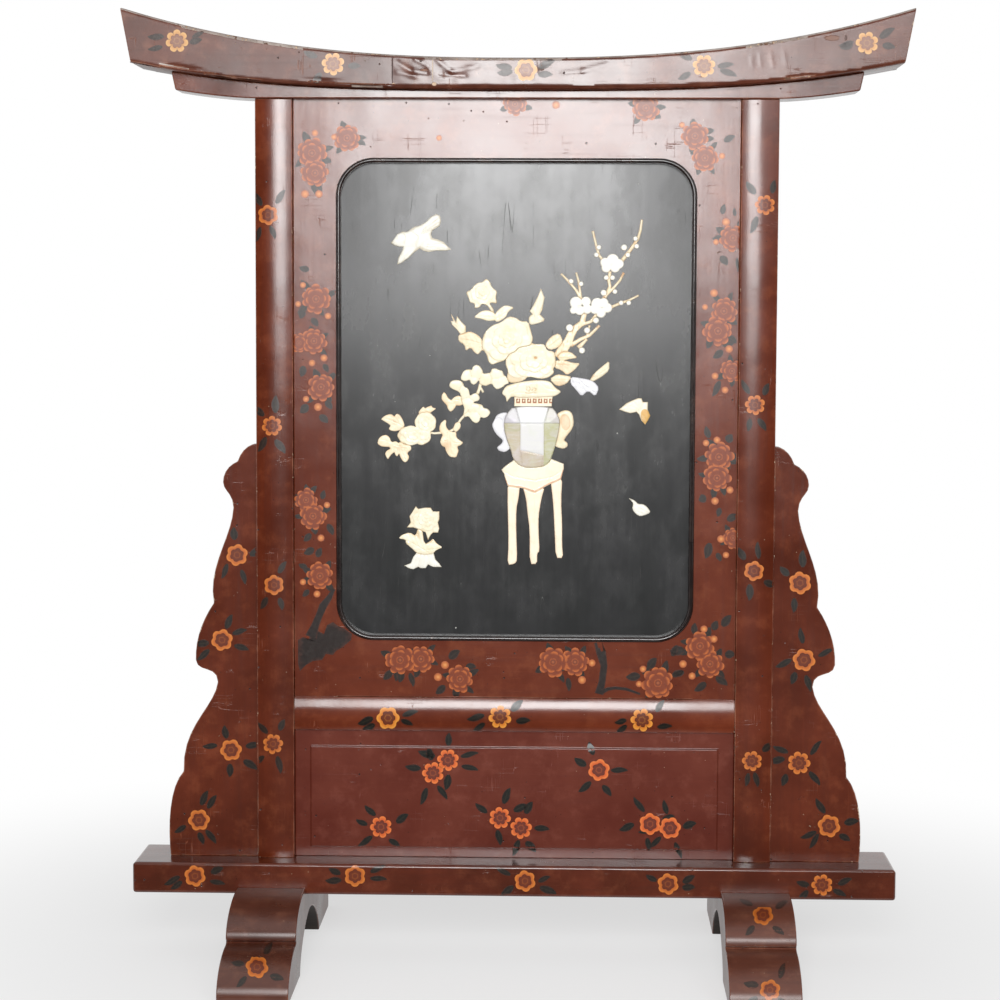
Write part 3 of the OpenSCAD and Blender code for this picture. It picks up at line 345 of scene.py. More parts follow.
def pearl(name):
    """Mother of pearl facets: each facet's tint and painted shade, with growth lines and a
    changing sheen.
    """
    f = Finish(name)
    tint = f.attribute("facet", "Color")
    growth = f.cloud(3.0, detail=4.0, rough=0.6, stretch=(0.35, 1, 1), turn=(0, 0.5, 0), bend=0.8)
    shift = f.cloud(11.0, detail=3.0, rough=0.5, shift=(0.4, 0.2, 0.9))
    colour = f.mix(growth.over(0.40, 0.72) * 0.35, tint, (204, 202, 209))
    colour = f.mix(shift.over(0.50, 0.72) * 0.28, colour, (196, 204, 178))
    colour = f.mix(shift.over(0.46, 0.30) * 0.25, colour, (206, 196, 214))
    hollow = f.attribute("relief").over(0.40, 0.10)
    colour = f.mix(hollow * 0.7, colour, (118, 108, 92))
    return f.surface(Base_Color=colour, Roughness=0.30 + growth * 0.2,
                     Normal=f.bump(growth, depth=0.04), Coat_Weight=0.12)


def plain_wood(name, light, dark, along="X"):
    f = Finish(name)
    thin = drawn_out(along, 0.06)
    grain = f.cloud(7.0, detail=5.0, rough=0.62, stretch=thin, bend=0.4)
    fibre = f.cloud(1.2, detail=3.0, rough=0.6, stretch=thin)
    stains = f.cloud(60.0, detail=3.0, rough=0.6)
    colour = f.mix(grain.over(0.22, 0.82), dark, light)
    colour = f.mix(fibre.over(0.5, 0.7) * 0.30, colour, dark)
    colour = f.mix(stains.over(0.5, 0.72) * 0.4, colour, dark)
    return f.surface(Base_Color=colour, Roughness=0.62 + fibre * 0.2,
                     Normal=f.bump(fibre * 0.6 + grain * 0.4, depth=0.16))


def painted_petals(name, rim, body, heart, line, edges, pale_from=None):
    """Flower paint. reach runs from the middle to the rim, lobe is 1 in mid-petal and 0
    in the gap between two petals, fade is how much of the paint has gone. edges gives
    where the heart ends and where the petals begin, pale_from where their pale rim does."""
    f = Finish(name)
    reach, lobe, fade = f.attribute("reach"), f.attribute("lobe"), f.attribute("fade")
    mottle = f.cloud(2.2, detail=4.0, rough=0.6)
    brush = f.cloud(1.0, detail=3.0, rough=0.6, stretch=(1, 1, 0.3))
    soft = reach + mottle.swing() * 0.14
    heart_end, petal_start = edges
    colour = f.mix(soft.over(pale_from or petal_start + 0.04, 0.94), body, rim)
    colour = f.mix(brush.over(0.48, 0.66) * 0.30, colour, body)
    colour = f.mix(lobe.over(0.30, 0.02) * soft.over(petal_start, 0.8) * 0.6, colour, line)
    colour = f.mix(soft.over(petal_start + 0.03, petal_start - 0.03), colour, line)
    colour = f.mix(soft.over(heart_end + 0.03, heart_end - 0.03), colour, heart)
    curl = (soft - heart_end * 0.5).size().over(0.07, 0.02)
    colour = f.mix(curl * 0.22, colour, rim)
    flakes = f.cloud(2.6, detail=5.0, rough=0.7, shift=(0.4, 0.4, 0.4)).over(0.58, 0.66)
    gone = (fade * 0.62 + mottle.swing() * 0.5 * fade).top(flakes * (0.15 + fade * 0.5))
    colour = f.mix(gone, colour, UNDER_PAINT)
    normal = f.bump(brush * 0.5 + mottle * 0.5, depth=0.05)
    return f.surface(Base_Color=colour, Roughness=0.26 + mottle * 0.12, Normal=normal)


def painted_leaf(name, body, edge, vein, veins=0.45):
    """Leaf paint. along runs from stalk to tip, across from -1 to 1."""
    f = Finish(name)
    along, across, fade = f.attribute("reach"), f.attribute("lobe"), f.attribute("fade")
    mottle = f.cloud(2.4, detail=4.0, rough=0.6)
    colour = f.mix(mottle.over(0.42, 0.70) * 0.6, body, edge)
    middle = across.size().over(0.17, 0.06)
    side = (along * 26.0 - across.size() * 7.0).sum("SINE").over(0.62, 0.96)
    colour = f.mix((middle.top(side * 0.6)) * veins, colour, vein)
    rim = (across.size() + mottle.swing() * 0.5).over(0.66, 1.0)
    colour = f.mix(rim * 0.3, colour, UNDER_PAINT)
    flakes = f.cloud(2.2, detail=5.0, rough=0.7, shift=(0.1, 0.6, 0.4)).over(0.60, 0.68)
    colour = f.mix((flakes * 0.25).top(fade * 0.3), colour, UNDER_PAINT)
    return f.surface(Base_Color=colour, Roughness=0.26 + mottle * 0.12,
                     Normal=f.bump(mottle, depth=0.04))


# The lacquers: body, shadows and bloom.
RED = (99, 38, 14), (72, 25, 8), (136, 70, 40)
FRAME = (106, 42, 14), (84, 29, 8), (142, 76, 44)
PLUM = (104, 46, 31), (86, 32, 20), (132, 74, 60)
BROWN = (98, 39, 19), (68, 26, 11), (134, 74, 48)
FRAME_GLOSS = (0.19, 0.24)
finishes = {
    "red": lacquer("red_brown_lacquer", *RED),
    "red_worn": lacquer("red_brown_lacquer_edge", (120, 60, 40), RED[1], (178, 124, 98),
                        worn=0.7),
    "frame": lacquer("frame_lacquer", *FRAME, gloss=FRAME_GLOSS),
    "frame_flat": lacquer("frame_lacquer_along", *FRAME, along="X", gloss=FRAME_GLOSS),
    # Lighter lacquer on the frame's eased edges against the posts and the rail: worn, and a
    # painted highlight of the light line along these edges.
    "frame_edge_wear_and_painted_highlight": lacquer("frame_lacquer_edge_worn_and_painted_highlight", (132, 76, 56), FRAME[1], (176, 124, 100),
                          worn=0.4),
    "rail": lacquer("middle_rail_lacquer", (110, 46, 22), (82, 30, 13), RED[2], along="X"),
    "panel": lacquer("plum_red_lacquer", *PLUM, along="X", streak_share=0.25),
    "dark": lacquer("dark_brown_lacquer", *BROWN, along="X"),
    "dark_worn": lacquer("dark_brown_lacquer_edge", (112, 60, 42), BROWN[1],
                         (172, 124, 98), along="X", worn=0.7),
    "dark_edge": lacquer("dark_brown_lacquer_soft_edge", (112, 60, 42), BROWN[1],
                         (160, 108, 84), along="X", worn=0.25),
    "foot": lacquer("brown_foot_lacquer", (97, 52, 37), (68, 34, 23), (138, 90, 68),
                    along="X", gloss=(0.26, 0.33)),
    "bead": lacquer("black_lacquer_moulding", (34, 20, 17), (18, 12, 11), (90, 70, 62),
                    along="X", gloss=(0.13, 0.19), streak_share=0.2),
    "board": black_board("black_board_lacquer"),
    "pearl": pearl("pearl_shell_facets"),
    # Dark wood grain used as painted shade under the feet's arches.
    "dark_wood_painted_shade": plain_wood("dark_wood_painted_shade_in_arch", (50, 41, 35), (26, 21, 18)),
    "wood": plain_wood("old_pine", (126, 92, 62), (74, 50, 32)),
    "pins": plain_wood("bamboo_pins", (160, 128, 84), (96, 68, 40), along="Y"),
}
# The inlays: body, shade and stain.
for shade, name, *tones in (
    ("cream", "cream_bone", (231, 225, 202), (219, 204, 160), (196, 150, 100)),
    ("white", "white_bone", (230, 228, 218), (216, 210, 194), (184, 168, 134)),
    ("lilac", "lilac_white_shell", (222, 222, 224), (204, 202, 208), (170, 166, 176), 0.28),
    ("tan", "tan_bone", (232, 221, 192), (220, 196, 152), (206, 152, 104)),
    ("golden", "golden_bone", (232, 227, 210), (218, 204, 166), (208, 164, 92)),
    ("fretwork", "fretwork_bone", (236, 226, 200), (214, 190, 150), (164, 106, 68)),
    ("stand", "stand_bone", (238, 229, 204), (222, 208, 180), (216, 146, 106)),
):
    finishes[shade] = bone(name, *tones)


# ---------------------------------------------------------------- wooden pieces

SHARP = 32  # degrees; an edge that turns more is eased
BEVEL_STEPS = 2
# The shapes of the working model that are changed here, and what they become, in mm.
POST_AT, POST_HALF, POST_FRONT, POST_ROUND, POST_ROUND_NEW = 192.7, 14.8, -12.5, 40.0, 62.0
RAIL_AT, RAIL_HALF, RAIL_FRONT, RAIL_CORNER, RAIL_ROUND_NEW = 199.5, 13.5, -9.5, 8.0, 34.0
RAIL_STEPS, RAIL_STEP = 14, 0.9
BASE_CORNER_NEW, CORNER_STEPS = 3.4, 5
CAP_HALF, CAP_EDGE, CAP_EDGE_NEW = 28.7, 8.0, 2.8
# The frame's edges against the posts and the middle rail, and how far forward they start.
STILE_EDGE, RAIL_EDGE, EDGE_FRONT, NEAR = 177.9, 213.0, -5.9, 0.3


def pick(piece):
    bpy.ops.object.select_all(action="DESELECT")
    piece.select_set(True)
    bpy.context.view_layer.objects.active = piece


def add(name, data):
    piece = bpy.data.objects.new(name, data)
    bpy.context.scene.collection.objects.link(piece)
    return piece


def smooth(piece, sharpest):
    """Shades a piece smooth, but not across edges that turn more than so many degrees."""
    pick(piece)
    bpy.ops.object.shade_smooth_by_angle(angle=math.radians(sharpest))


def keep(piece, slot, *nodes):
    """Says on what body a piece rides and which nodes it dresses, which it hides. slot is not
    used.
    """
    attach(piece, "root")
    if nodes:
        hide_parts(*nodes)
    return piece


def copy_of(node, name, join=True):
    """A copy of a CAD node with its loose triangles merged, and joined into whole faces."""
    piece = add(name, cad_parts[node].data.copy())
    pick(piece)
    bpy.ops.object.mode_set(mode="EDIT")
    bpy.ops.mesh.select_all(action="SELECT")
    bpy.ops.mesh.remove_doubles(threshold=2e-6)
    if join:
        bpy.ops.mesh.dissolve_limited(angle_limit=math.radians(0.5))
    bpy.ops.object.mode_set(mode="OBJECT")
    bpy.ops.mesh.customdata_custom_splitnormals_clear()
    return piece


def coat(piece, *names):
    """Gives a piece its finishes, the first of them on every face."""
    piece.data.materials.clear()
    for name in names:
        piece.data.materials.append(finishes[name])
    piece.data.polygons.foreach_set("material_index", [0] * len(piece.data.polygons))


def ease_edges(piece, width, harden=True, where=None):
    """Rounds sharp edges, or only those whose ends are at a place that where accepts."""
    smooth(piece, SHARP)
    bevel = piece.modifiers.new("eased", "BEVEL")
    bevel.width = width * MM
    bevel.segments = BEVEL_STEPS
    bevel.limit_method = "ANGLE"
    bevel.angle_limit = math.radians(SHARP)
    bevel.use_clamp_overlap = False
    bevel.harden_normals = harden
    bevel.material = 1
    if where:
        mesh = piece.data
        weights = mesh.attributes.new("bevel_weight_edge", "FLOAT", "EDGE")
        for edge in mesh.edges:
            a, b = (mesh.vertices[i].co / MM for i in edge.vertices)
            weights.data[edge.index].value = float(where(a) and where(b))
        bevel.limit_method = "WEIGHT"
    bpy.ops.object.modifier_apply(modifier=bevel.name)


def slice_up(piece, axis, places):
    """Cuts a piece's faces along planes across an axis, so that they can be shaped."""
    shape = bmesh.new()
    shape.from_mesh(piece.data)
    across = Vector([float(k == axis) for k in range(3)])
    for place in places:
        everything = shape.verts[:] + shape.edges[:] + shape.faces[:]
        bmesh.ops.bisect_plane(shape, geom=everything, dist=1e-6,
                               plane_co=across * (place * MM), plane_no=across)
    shape.to_mesh(piece.data)
    shape.free()


def new_front(piece, axis, middle, half, old, new):
    """Moves the points of a front from its old section to a new one. Both give Y in mm at a
    distance from the middle."""
    for v in piece.data.vertices:
        off = v.co[axis] / MM - middle
        if abs(off) < half + 0.01 and abs(v.co.y / MM - old(off)) < 0.05:
            v.co.y = new(off) * MM


def arc(front, radius):
    return lambda off: front + radius - math.sqrt(radius * radius - off * off)


def flatter_post(piece):
    """The posts' fronts are less crowned to the eye than in the working model."""
    places = [v.co.x for v in piece.data.vertices]
    middle = math.copysign(POST_AT, min(places) + max(places))
    new_front(piece, 0, middle, POST_HALF, arc(POST_FRONT, POST_ROUND),
              arc(POST_FRONT, POST_ROUND_NEW))


def crowned_rail(piece):
    """The middle rail's front is one round from top to bottom."""
    def old(off):
        out = min(max(0.0, abs(off) - (RAIL_HALF - RAIL_CORNER)), RAIL_CORNER)
        return RAIL_FRONT + RAIL_CORNER - math.sqrt(RAIL_CORNER * RAIL_CORNER - out * out)

    slice_up(piece, 2, [RAIL_AT + RAIL_STEP * k for k in range(-RAIL_STEPS, RAIL_STEPS + 1)])
    new_front(piece, 2, RAIL_AT, RAIL_HALF, old, arc(RAIL_FRONT, RAIL_ROUND_NEW))


def soft_ends(piece):
    """The base rail's ends have rounded corners."""
    radius = BASE_CORNER_NEW
    corners = [v.co / MM for v in piece.data.vertices]
    end = max(c.x for c in corners)
    low, high = min(c.z for c in corners), max(c.z for c in corners)
    steps = [radius * k / CORNER_STEPS for k in range(1, CORNER_STEPS + 1)]
    slice_up(piece, 0, [side * (end - s) for s in steps for side in (-1, 1)])
    slice_up(piece, 2, [low + s for s in steps] + [high - s for s in steps])
    for v in piece.data.vertices:
        x, z = abs(v.co.x) / MM, v.co.z / MM
        upper = z > (low + high) / 2
        far = x - (end - radius)
        up = z - (high - radius) if upper else z - (low + radius)
        if far > 0 and (up > 0) == upper and math.hypot(far, up) > radius:
            shrink = radius / math.hypot(far, up)
            v.co.x = math.copysign((end - radius + far * shrink) * MM, v.co.x)
            v.co.z = (z - up + up * shrink) * MM


def at_post(p): return abs(abs(p.x) - STILE_EDGE) < NEAR and p.y < EDGE_FRONT
def at_rail(p): return abs(p.z - RAIL_EDGE) < NEAR and p.y < EDGE_FRONT


def woodwork(node, slot, body, edge, width, shape=None, where=None):
    """A lacquered copy of a CAD node, its edges eased by so many mm."""
    piece = copy_of(node, "lacquer_" + node)
    if shape:
        shape(piece)
    coat(piece, body, edge)
    ease_edges(piece, width, where=where)
    return keep(piece, slot, node)


SIDES = ("left", "right")
pieces = {}
# Node, slot, finish, finish of its eased edges, their width in mm, and what shapes it.
for node, *how in (
    *(("foot_" + side, "dark_lacquer", "foot", "dark_edge", 0.9) for side in SIDES),
    ("base_rail", "dark_lacquer", "dark", "dark_worn", 0.5, soft_ends),
    *(("post_" + side, "red_lacquer", "red", "red_worn", 0.6, flatter_post) for side in SIDES),
    *(("bracket_" + side, "red_lacquer", "red", "red_worn", 0.8) for side in SIDES),
    ("apron_panel", "red_lacquer", "panel", "panel", 0.8),
    ("mid_rail", "red_lacquer", "rail", "red_worn", 0.4, crowned_rail),
    *(("frame_stile_" + side, "red_lacquer", "frame", "frame_edge_wear_and_painted_highlight", 0.8, None, at_post)
      for side in SIDES),
    *(("frame_rail_" + side, "red_lacquer", "frame_flat", "frame_edge_wear_and_painted_highlight", 0.8, None, at_rail)
      for side in ("bottom", "top")),
    ("cap_lower", "dark_lacquer", "dark", "dark_edge", 1.1),
    *(("batten_" + side, "dark_lacquer", "dark", "dark_edge", 0.5)
      for side in ("bottom", "top") + SIDES),
):
    pieces[node] = woodwork(node, *how)

# The faces under the arch of the feet get a near-black wood finish: painted shade for the shadow
# inside the arch.
ARCH_HALF, ARCH_TOP, STEEP = 71.5, 37.0, 0.3
for side in SIDES:
    foot = pieces["foot_" + side].data
    foot.materials.append(finishes["dark_wood_painted_shade"])
    for face in foot.polygons:
        middle = face.center / MM
        if abs(face.normal.x) < STEEP and abs(middle.y) < ARCH_HALF and middle.z < ARCH_TOP:
            face.material_index = 2

for node, slot, body, sharpest in (("bead_upper", "dark_lacquer", "bead", 75),
                                   ("bead_lower", "dark_lacquer", "bead", 75),
                                   ("picture_board", "black_lacquer", "board", 40)):
    piece = copy_of(node, "lacquer_" + node, join=False)
    coat(piece, body)
    smooth(piece, sharpest)
    keep(piece, slot, node)

for node, body in (("backing_board", "wood"), ("batten_pins", "pins"),
                   ("foot_dowels", "pins"), ("cap_dowels", "pins")):
    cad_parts[node].data.materials.clear()
    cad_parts[node].data.materials.append(finishes[body])

# The cap, whose lacquer has lifted and cracked around the middle. Folds are given by the
# pixels of their ends, their width and their height.
CAP_FRONT = -CAP_HALF
folds = [(on_plane(*a, CAP_FRONT), on_plane(*b, CAP_FRONT), width, height)
         for a, b, width, height in (
    ((392, 54), (392.5, 84), 0.5, -0.22), ((397, 62), (411, 71), 1.6, -0.45),
    ((411, 71), (427, 73), 1.8, -0.5), ((397, 72), (415, 76), 1.8, 0.35),
    ((415, 59), (428, 66), 1.4, 0.4), ((437, 60), (452, 72), 1.8, 0.35),
    ((452, 72), (478, 66), 2.0, 0.4), ((440, 74), (465, 76), 1.5, -0.3),
    ((563, 73), (583, 71), 1.8, -0.28), ((583, 71), (607, 64), 1.8, -0.28),
    ((538, 57), (540, 70), 1.3, -0.28), ((540, 70), (550, 66), 1.5, -0.25),
    ((752, 56), (752, 66), 1.4, 0.08), ((760, 55), (761, 66), 1.4, 0.07),
    ((771, 54), (773, 66), 1.4, 0.08), ((784, 53), (786, 64), 1.4, 0.06))]
lift_from, lift_to = (on_plane(px, 70, CAP_FRONT).x for px in (380.0, 560.0))
LIFT_EDGE = 18.0  # mm over which the lifted lacquer sets in
WRINKLE, WRINKLE_SLANT, WRINKLE_RISE, LIFTED = (10.0, 8.0), 40.0, 0.30, 0.05  # mm
SWELL, SWELL_RISE = (30.0, 18.0), 0.12
FINE_CUT, CUT, COARSE_CUT = 1.3, 1.7, 10.0  # mm between the cuts of the cap's face
CRACKED = (560, 612), (746, 792)  # pixels with finer cuts, every second one
CAP_END, CAP_LOW, CAP_HIGH = 300.0, 699.0, 762.0
RIM_TILT = 0.3  # how far the top front edge's faces lean both ways
FACING = 0.5  # faces turned less to the front keep their shape


def zero_to_one(value):
    return min(max(value, 0.0), 1.0)


def cap_relief(spot):
    """How far the lacquer stands out (+) or is sunk (-) at a place on the cap's face, mm."""
    spot = spot / MM
    x, z = spot.x, spot.z
    inside = (zero_to_one((x - lift_from) / LIFT_EDGE)
              * zero_to_one((lift_to - x) / LIFT_EDGE))
    wrinkle = noise.noise(Vector((x / WRINKLE[0], 3.7, z / WRINKLE[1] + x / WRINKLE_SLANT)))
    swell = noise.noise(Vector((x / SWELL[0], 8.1, z / SWELL[1])))
    out = inside * (WRINKLE_RISE * wrinkle + LIFTED) + SWELL_RISE * swell
    for a, b, width, height in folds:
        along = b - a
        near = (spot - a).dot(along) / along.length_squared
        away = spot - a - along * zero_to_one(near)
        out += height * math.exp(-(away.x ** 2 + away.z ** 2) / width ** 2)
    return out


def tighter_cap_edge(cap):
    """The lower edges are rounded less to the eye than in the working model."""
    old, new = CAP_EDGE, CAP_EDGE_NEW
    for v in cap.data.vertices:
        inset = CAP_HALF - abs(v.co.y) / MM
        if v.normal.z < -0.01 and inset < old + 0.01:
            sine = 1.0 - min(max(inset, 0.0), old) / old
            height = old * (1.0 - math.sqrt(max(0.0, 1.0 - sine * sine)))
            turn = max(0.0, 1.0 - height / new)
            out = CAP_HALF - new * (1.0 - math.sqrt(1.0 - turn * turn))
            v.co.y = math.copysign(out, v.co.y) * MM


def make_cap():
    cap = copy_of("cap_upper", "lacquer_cap_upper")
    tighter_cap_edge(cap)
    coat(cap, "cap", "dark_worn", "cap_rim_worn_and_painted_highlight")
    # The top front edge's faces get the pale grey rim lacquer: a painted highlight of the light
    # from above, with wear.
    for face in cap.data.polygons:
        if face.normal.z > RIM_TILT and face.normal.y < -RIM_TILT:
            face.material_index = 2
    ease_edges(cap, width=0.6, harden=False)
    cuts = [COARSE_CUT * i - CAP_END for i in range(int(2 * CAP_END / COARSE_CUT) + 1)]
    cuts += [lift_from + FINE_CUT * i for i in range(int((lift_to - lift_from) / FINE_CUT))]
    cuts += [on_plane(px, 60, CAP_FRONT).x for ends in CRACKED for px in range(*ends, 2)]
    slice_up(cap, 0, sorted(cuts))
    slice_up(cap, 2, [float(z) for z in np.arange(CAP_LOW, CAP_HIGH, CUT)])
    shape = bmesh.new()
    shape.from_mesh(cap.data)
    shape.normal_update()
    moves = []
    for v in shape.verts:
        facing = max(0.0, -v.normal.y)
        if facing > FACING:
            held = zero_to_one((facing - FACING) * 3)
            moves.append((v, v.normal * (cap_relief(v.co) * MM * held)))
    for v, move in moves:
        v.co += move
    shape.to_mesh(cap.data)
    shape.free()
    smooth(cap, sharpest=38)
    return keep(cap, "dark_lacquer", "cap_upper")


# Damage on the cap's face: pixel, half sizes in mm and colour.
cap_marks = []
for px, py, *mark in (
        (424, 70, 3.2, 0.9, (132, 92, 72)), (421, 61, 1.2, 0.9, (66, 46, 38)),
        (392.3, 68, 0.5, 13.0, (58, 34, 26)), (432.6, 68, 0.5, 12.0, (196, 178, 160)),
        (434, 84, 1.8, 1.4, PRIMER), (393.5, 84, 1.2, 1.0, PRIMER),
        (541, 69, 3.0, 1.2, (92, 60, 46)), (564, 73, 1.0, 1.0, (52, 34, 28)),
        (566, 38, 17.0, 1.6, (150, 108, 84)), (596, 36, 12.0, 1.4, (78, 46, 36)),
        (832, 38, 6.0, 2.2, (124, 88, 72)), (846, 38, 1.0, 2.2, (84, 58, 50)),
        (300, 36, 9.0, 1.0, PRIMER), (700, 30, 7.0, 0.9, PRIMER),
):
    spot = on_plane(px, py, CAP_FRONT)
    cap_marks.append((spot.x, spot.z, *mark))
finishes["cap"] = lacquer("cap_lacquer", (98, 48, 31), (68, 31, 18), (150, 98, 74), along="X",
                          gloss=(0.20, 0.28), marks=cap_marks, dull=(-40.0, -120.0))
# A pale grey lacquer for the cap's top front edge: worn, and a painted highlight of the light from
# above.
finishes["cap_rim_worn_and_painted_highlight"] = lacquer("cap_top_edge_worn_and_painted_highlight", (150, 136, 128), (104, 86, 76), (190, 180, 172),
                              along="X", worn=0.75, gloss=(0.3, 0.4))
pieces["cap_upper"] = make_cap()


# ---------------------------------------------------------------- carved picture

EDGE_RELIEF = 0.35  # share of the relief that is left at an inlay's edge
UNCARVED = 0.30  # share of an inlay's thickness that no cut reaches
FAR = 1e9
# In steps of the tiling: longest stretch of outline, height of a row, bare strip inside.
LONGEST, ROW, BARE = 1.1, 0.87, 0.45


def outline_of(node):
    """Corners (mm from the picture's centre) and edges of the front face of an inlay."""
    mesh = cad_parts[node].data
    front = min(v.co.y for v in mesh.vertices)
    index, corners, count = {}, [], {}
    for polygon in mesh.polygons:
        if any(abs(mesh.vertices[i].co.y - front) > 2e-6 for i in polygon.vertices):
            continue
        ids = []
        for i in polygon.vertices:
            co = mesh.vertices[i].co
            key = (round(co.x / MM, 2), round(co.z / MM - OPENING_MID, 2))
            if key not in index:
                index[key] = len(corners)
                corners.append(key)
            ids.append(index[key])
        for a, b in zip(ids, ids[1:] + ids[:1]):
            if a != b:
                pair = (min(a, b), max(a, b))
                count[pair] = count.get(pair, 0) + 1
    return np.array(corners), [pair for pair, n in count.items() if n == 1]


def to_segment(points, a, b):
    """Distance of each point to a straight stretch."""
    a, b = np.asarray(a, float), np.asarray(b, float)
    run = b - a
    t = np.clip(((points - a) @ run) / max(run @ run, 1e-9), 0, 1)
    return np.hypot(*(points - a - t[:, None] * run).T)


def away_from(points, stretches):
    """Distance of each point to the nearest of some stretches."""
    best = np.full(len(points), FAR)
    for a, b in stretches:
        best = np.minimum(best, to_segment(points, a, b))
    return best


def stretches_of(line):
    """The stretches between the points of a line, each as its two ends."""
    return list(zip(line, line[1:]))


def within(points, corners, edges):
    """Which points lie inside the outline."""
    inside = np.zeros(len(points), bool)
    x, y = points.T
    for i, j in edges:
        (ax, ay), (bx, by) = corners[i], corners[j]
        if ay == by:
            continue
        crosses = (ay > y) != (by > y)
        inside ^= crosses & (x < (bx - ax) * (y - ay) / (by - ay) + ax)
    return inside


def tile(corners, edges, step):
    """Fills an outline with even triangles, its long edges split. Gives their corners, the
    triangles and each corner's distance to the outline."""
    border = [(corners[i], corners[j]) for i, j in edges]
    points = [tuple(c) for c in corners]
    split = []
    for (i, j), (a, b) in zip(edges, border):
        parts = max(1, int(math.ceil(np.hypot(*(b - a)) / (step * LONGEST))))
        last = i
        for k in range(1, parts):
            points.append(tuple(a + (b - a) * k / parts))
            split.append((last, len(points) - 1))
            last = len(points) - 1
        split.append((last, j))
    used = corners[sorted({k for pair in edges for k in pair})]
    low, high = used.min(0), used.max(0)
    rows = np.arange(low[1], high[1], step * ROW)
    grid = np.array([(x + (0.5 * step if r % 2 else 0.0), y) for r, y in enumerate(rows)
                     for x in np.arange(low[0], high[0], step)])
    grid = grid[within(grid, corners, edges)]
    grid = grid[away_from(grid, border) > step * BARE]
    everything = [Vector(p) for p in points] + [Vector(p) for p in grid]
    made = delaunay_2d_cdt(everything, split, [], 0, 1e-6, False)
    spots = np.array([tuple(v) for v in made[0]])
    faces = [f for f in made[2] if len(f) == 3]
    middles = np.array([spots[list(f)].mean(0) for f in faces])
    faces = [f for f, good in zip(faces, within(middles, corners, edges)) if good]
    return spots, faces, away_from(spots, border)


SLOTS = {"cream": "cream_bone", "white": "white_bone", "lilac": "white_bone",
         "tan": "tan_bone", "golden": "white_bone", "fretwork": "tan_bone",
         "stand": "cream_bone", "pearl": "pearl_shell"}


def carve(inlay, finish, form, stain=None, step=0.55, facet=None, shoulder=0.8, slot=None):
    """An inlay with a carved face. form gives the height of each point and stain how much
    dye it holds, both from 0 to 1, from the points, their distance to the outline and, for
    stain, their relief."""
    node = "inlay_" + inlay
    low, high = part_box(node)
    thick, back = (high.y - low.y) / MM, high.y / MM
    corners, edges = outline_of(node)
    spots, faces, gap = tile(corners, edges, step)
    edge = np.sqrt(1.0 - (1.0 - np.clip(gap / shoulder, 0.0, 1.0)) ** 2)
    relief = np.clip(form(spots, gap), 0.0, 1.0) * (EDGE_RELIEF + (1.0 - EDGE_RELIEF) * edge)
    depth = thick * (UNCARVED + (1.0 - UNCARVED) * relief)
    used = sorted({i for f in faces for i in f})
    renamed = {i: k for k, i in enumerate(used)}
    number = len(used)
    front = [(spots[i][0] * MM, (back - depth[i]) * MM, (spots[i][1] + OPENING_MID) * MM)
             for i in used]
    rear = [(x, back * MM, z) for x, y, z in front]
    shapes, sides = [], {}
    for f in faces:
        a, b, c = (renamed[i] for i in f)
        pa, pb, pc = (spots[i] for i in f)
        if (pb[0] - pa[0]) * (pc[1] - pa[1]) - (pb[1] - pa[1]) * (pc[0] - pa[0]) < 0:
            b, c = c, b
        shapes.append((a, b, c))
        shapes.append((a + number, c + number, b + number))
        sides.update(dict.fromkeys(((a, b), (b, c), (c, a))))
    for a, b in sides:
        if (b, a) not in sides:
            shapes.append((b, a, a + number, b + number))
    mesh = bpy.data.meshes.new("carved_" + inlay)
    mesh.from_pydata(front + rear, [], shapes)
    mesh.update()
    piece = add("carved_" + inlay, mesh)
    dyed = np.clip(stain(spots, gap, relief), 0, 1) if stain else np.zeros(len(spots))
    for label, values in (("relief", relief), ("stain", dyed)):
        layer = mesh.attributes.new(label, "FLOAT", "POINT")
        layer.data.foreach_set("value", np.tile(values[used], 2).astype(np.float32))
    if facet:
        tones = mesh.attributes.new("facet", "FLOAT_COLOR", "CORNER")
        for polygon in mesh.polygons:
            tone = facet(polygon.center.x / MM, polygon.center.z / MM - OPENING_MID)
            for loop in polygon.loop_indices:
                tones.data[loop].color = paint(*tone)
    piece.data.materials.append(finishes[finish])
    smooth(piece, sharpest=42)
    keep(piece, slot or SLOTS[finish], node)


def pillow(gap, reach):
    """Rises from 0 at the outline to 1 at a distance."""
    return 1.0 - (1.0 - np.clip(gap / reach, 0, 1)) ** 2


def mound(points, x, y, rx, ry=None, turn=0.0):
    """A dome over an oval: 1 in its middle, 0 outside."""
    ry = ry or rx
    c, s = math.cos(math.radians(turn)), math.sin(math.radians(turn))
    dx, dy = points[:, 0] - x, points[:, 1] - y
    q = ((dx * c + dy * s) / rx) ** 2 + ((dy * c - dx * s) / ry) ** 2
    return np.sqrt(np.clip(1.0 - q, 0, 1))


def dye(strength, *ovals):
    """Dye that thins out from the middle of each oval."""
    return lambda points, gap, relief: strength * np.maximum.reduce(
        [mound(points, *oval) for oval in ovals])


def groove(points, line, width):
    """How deep a round cut along a line is at each point, 1 in its middle."""
    return np.exp(-(away_from(points, stretches_of(line)) / width) ** 2)


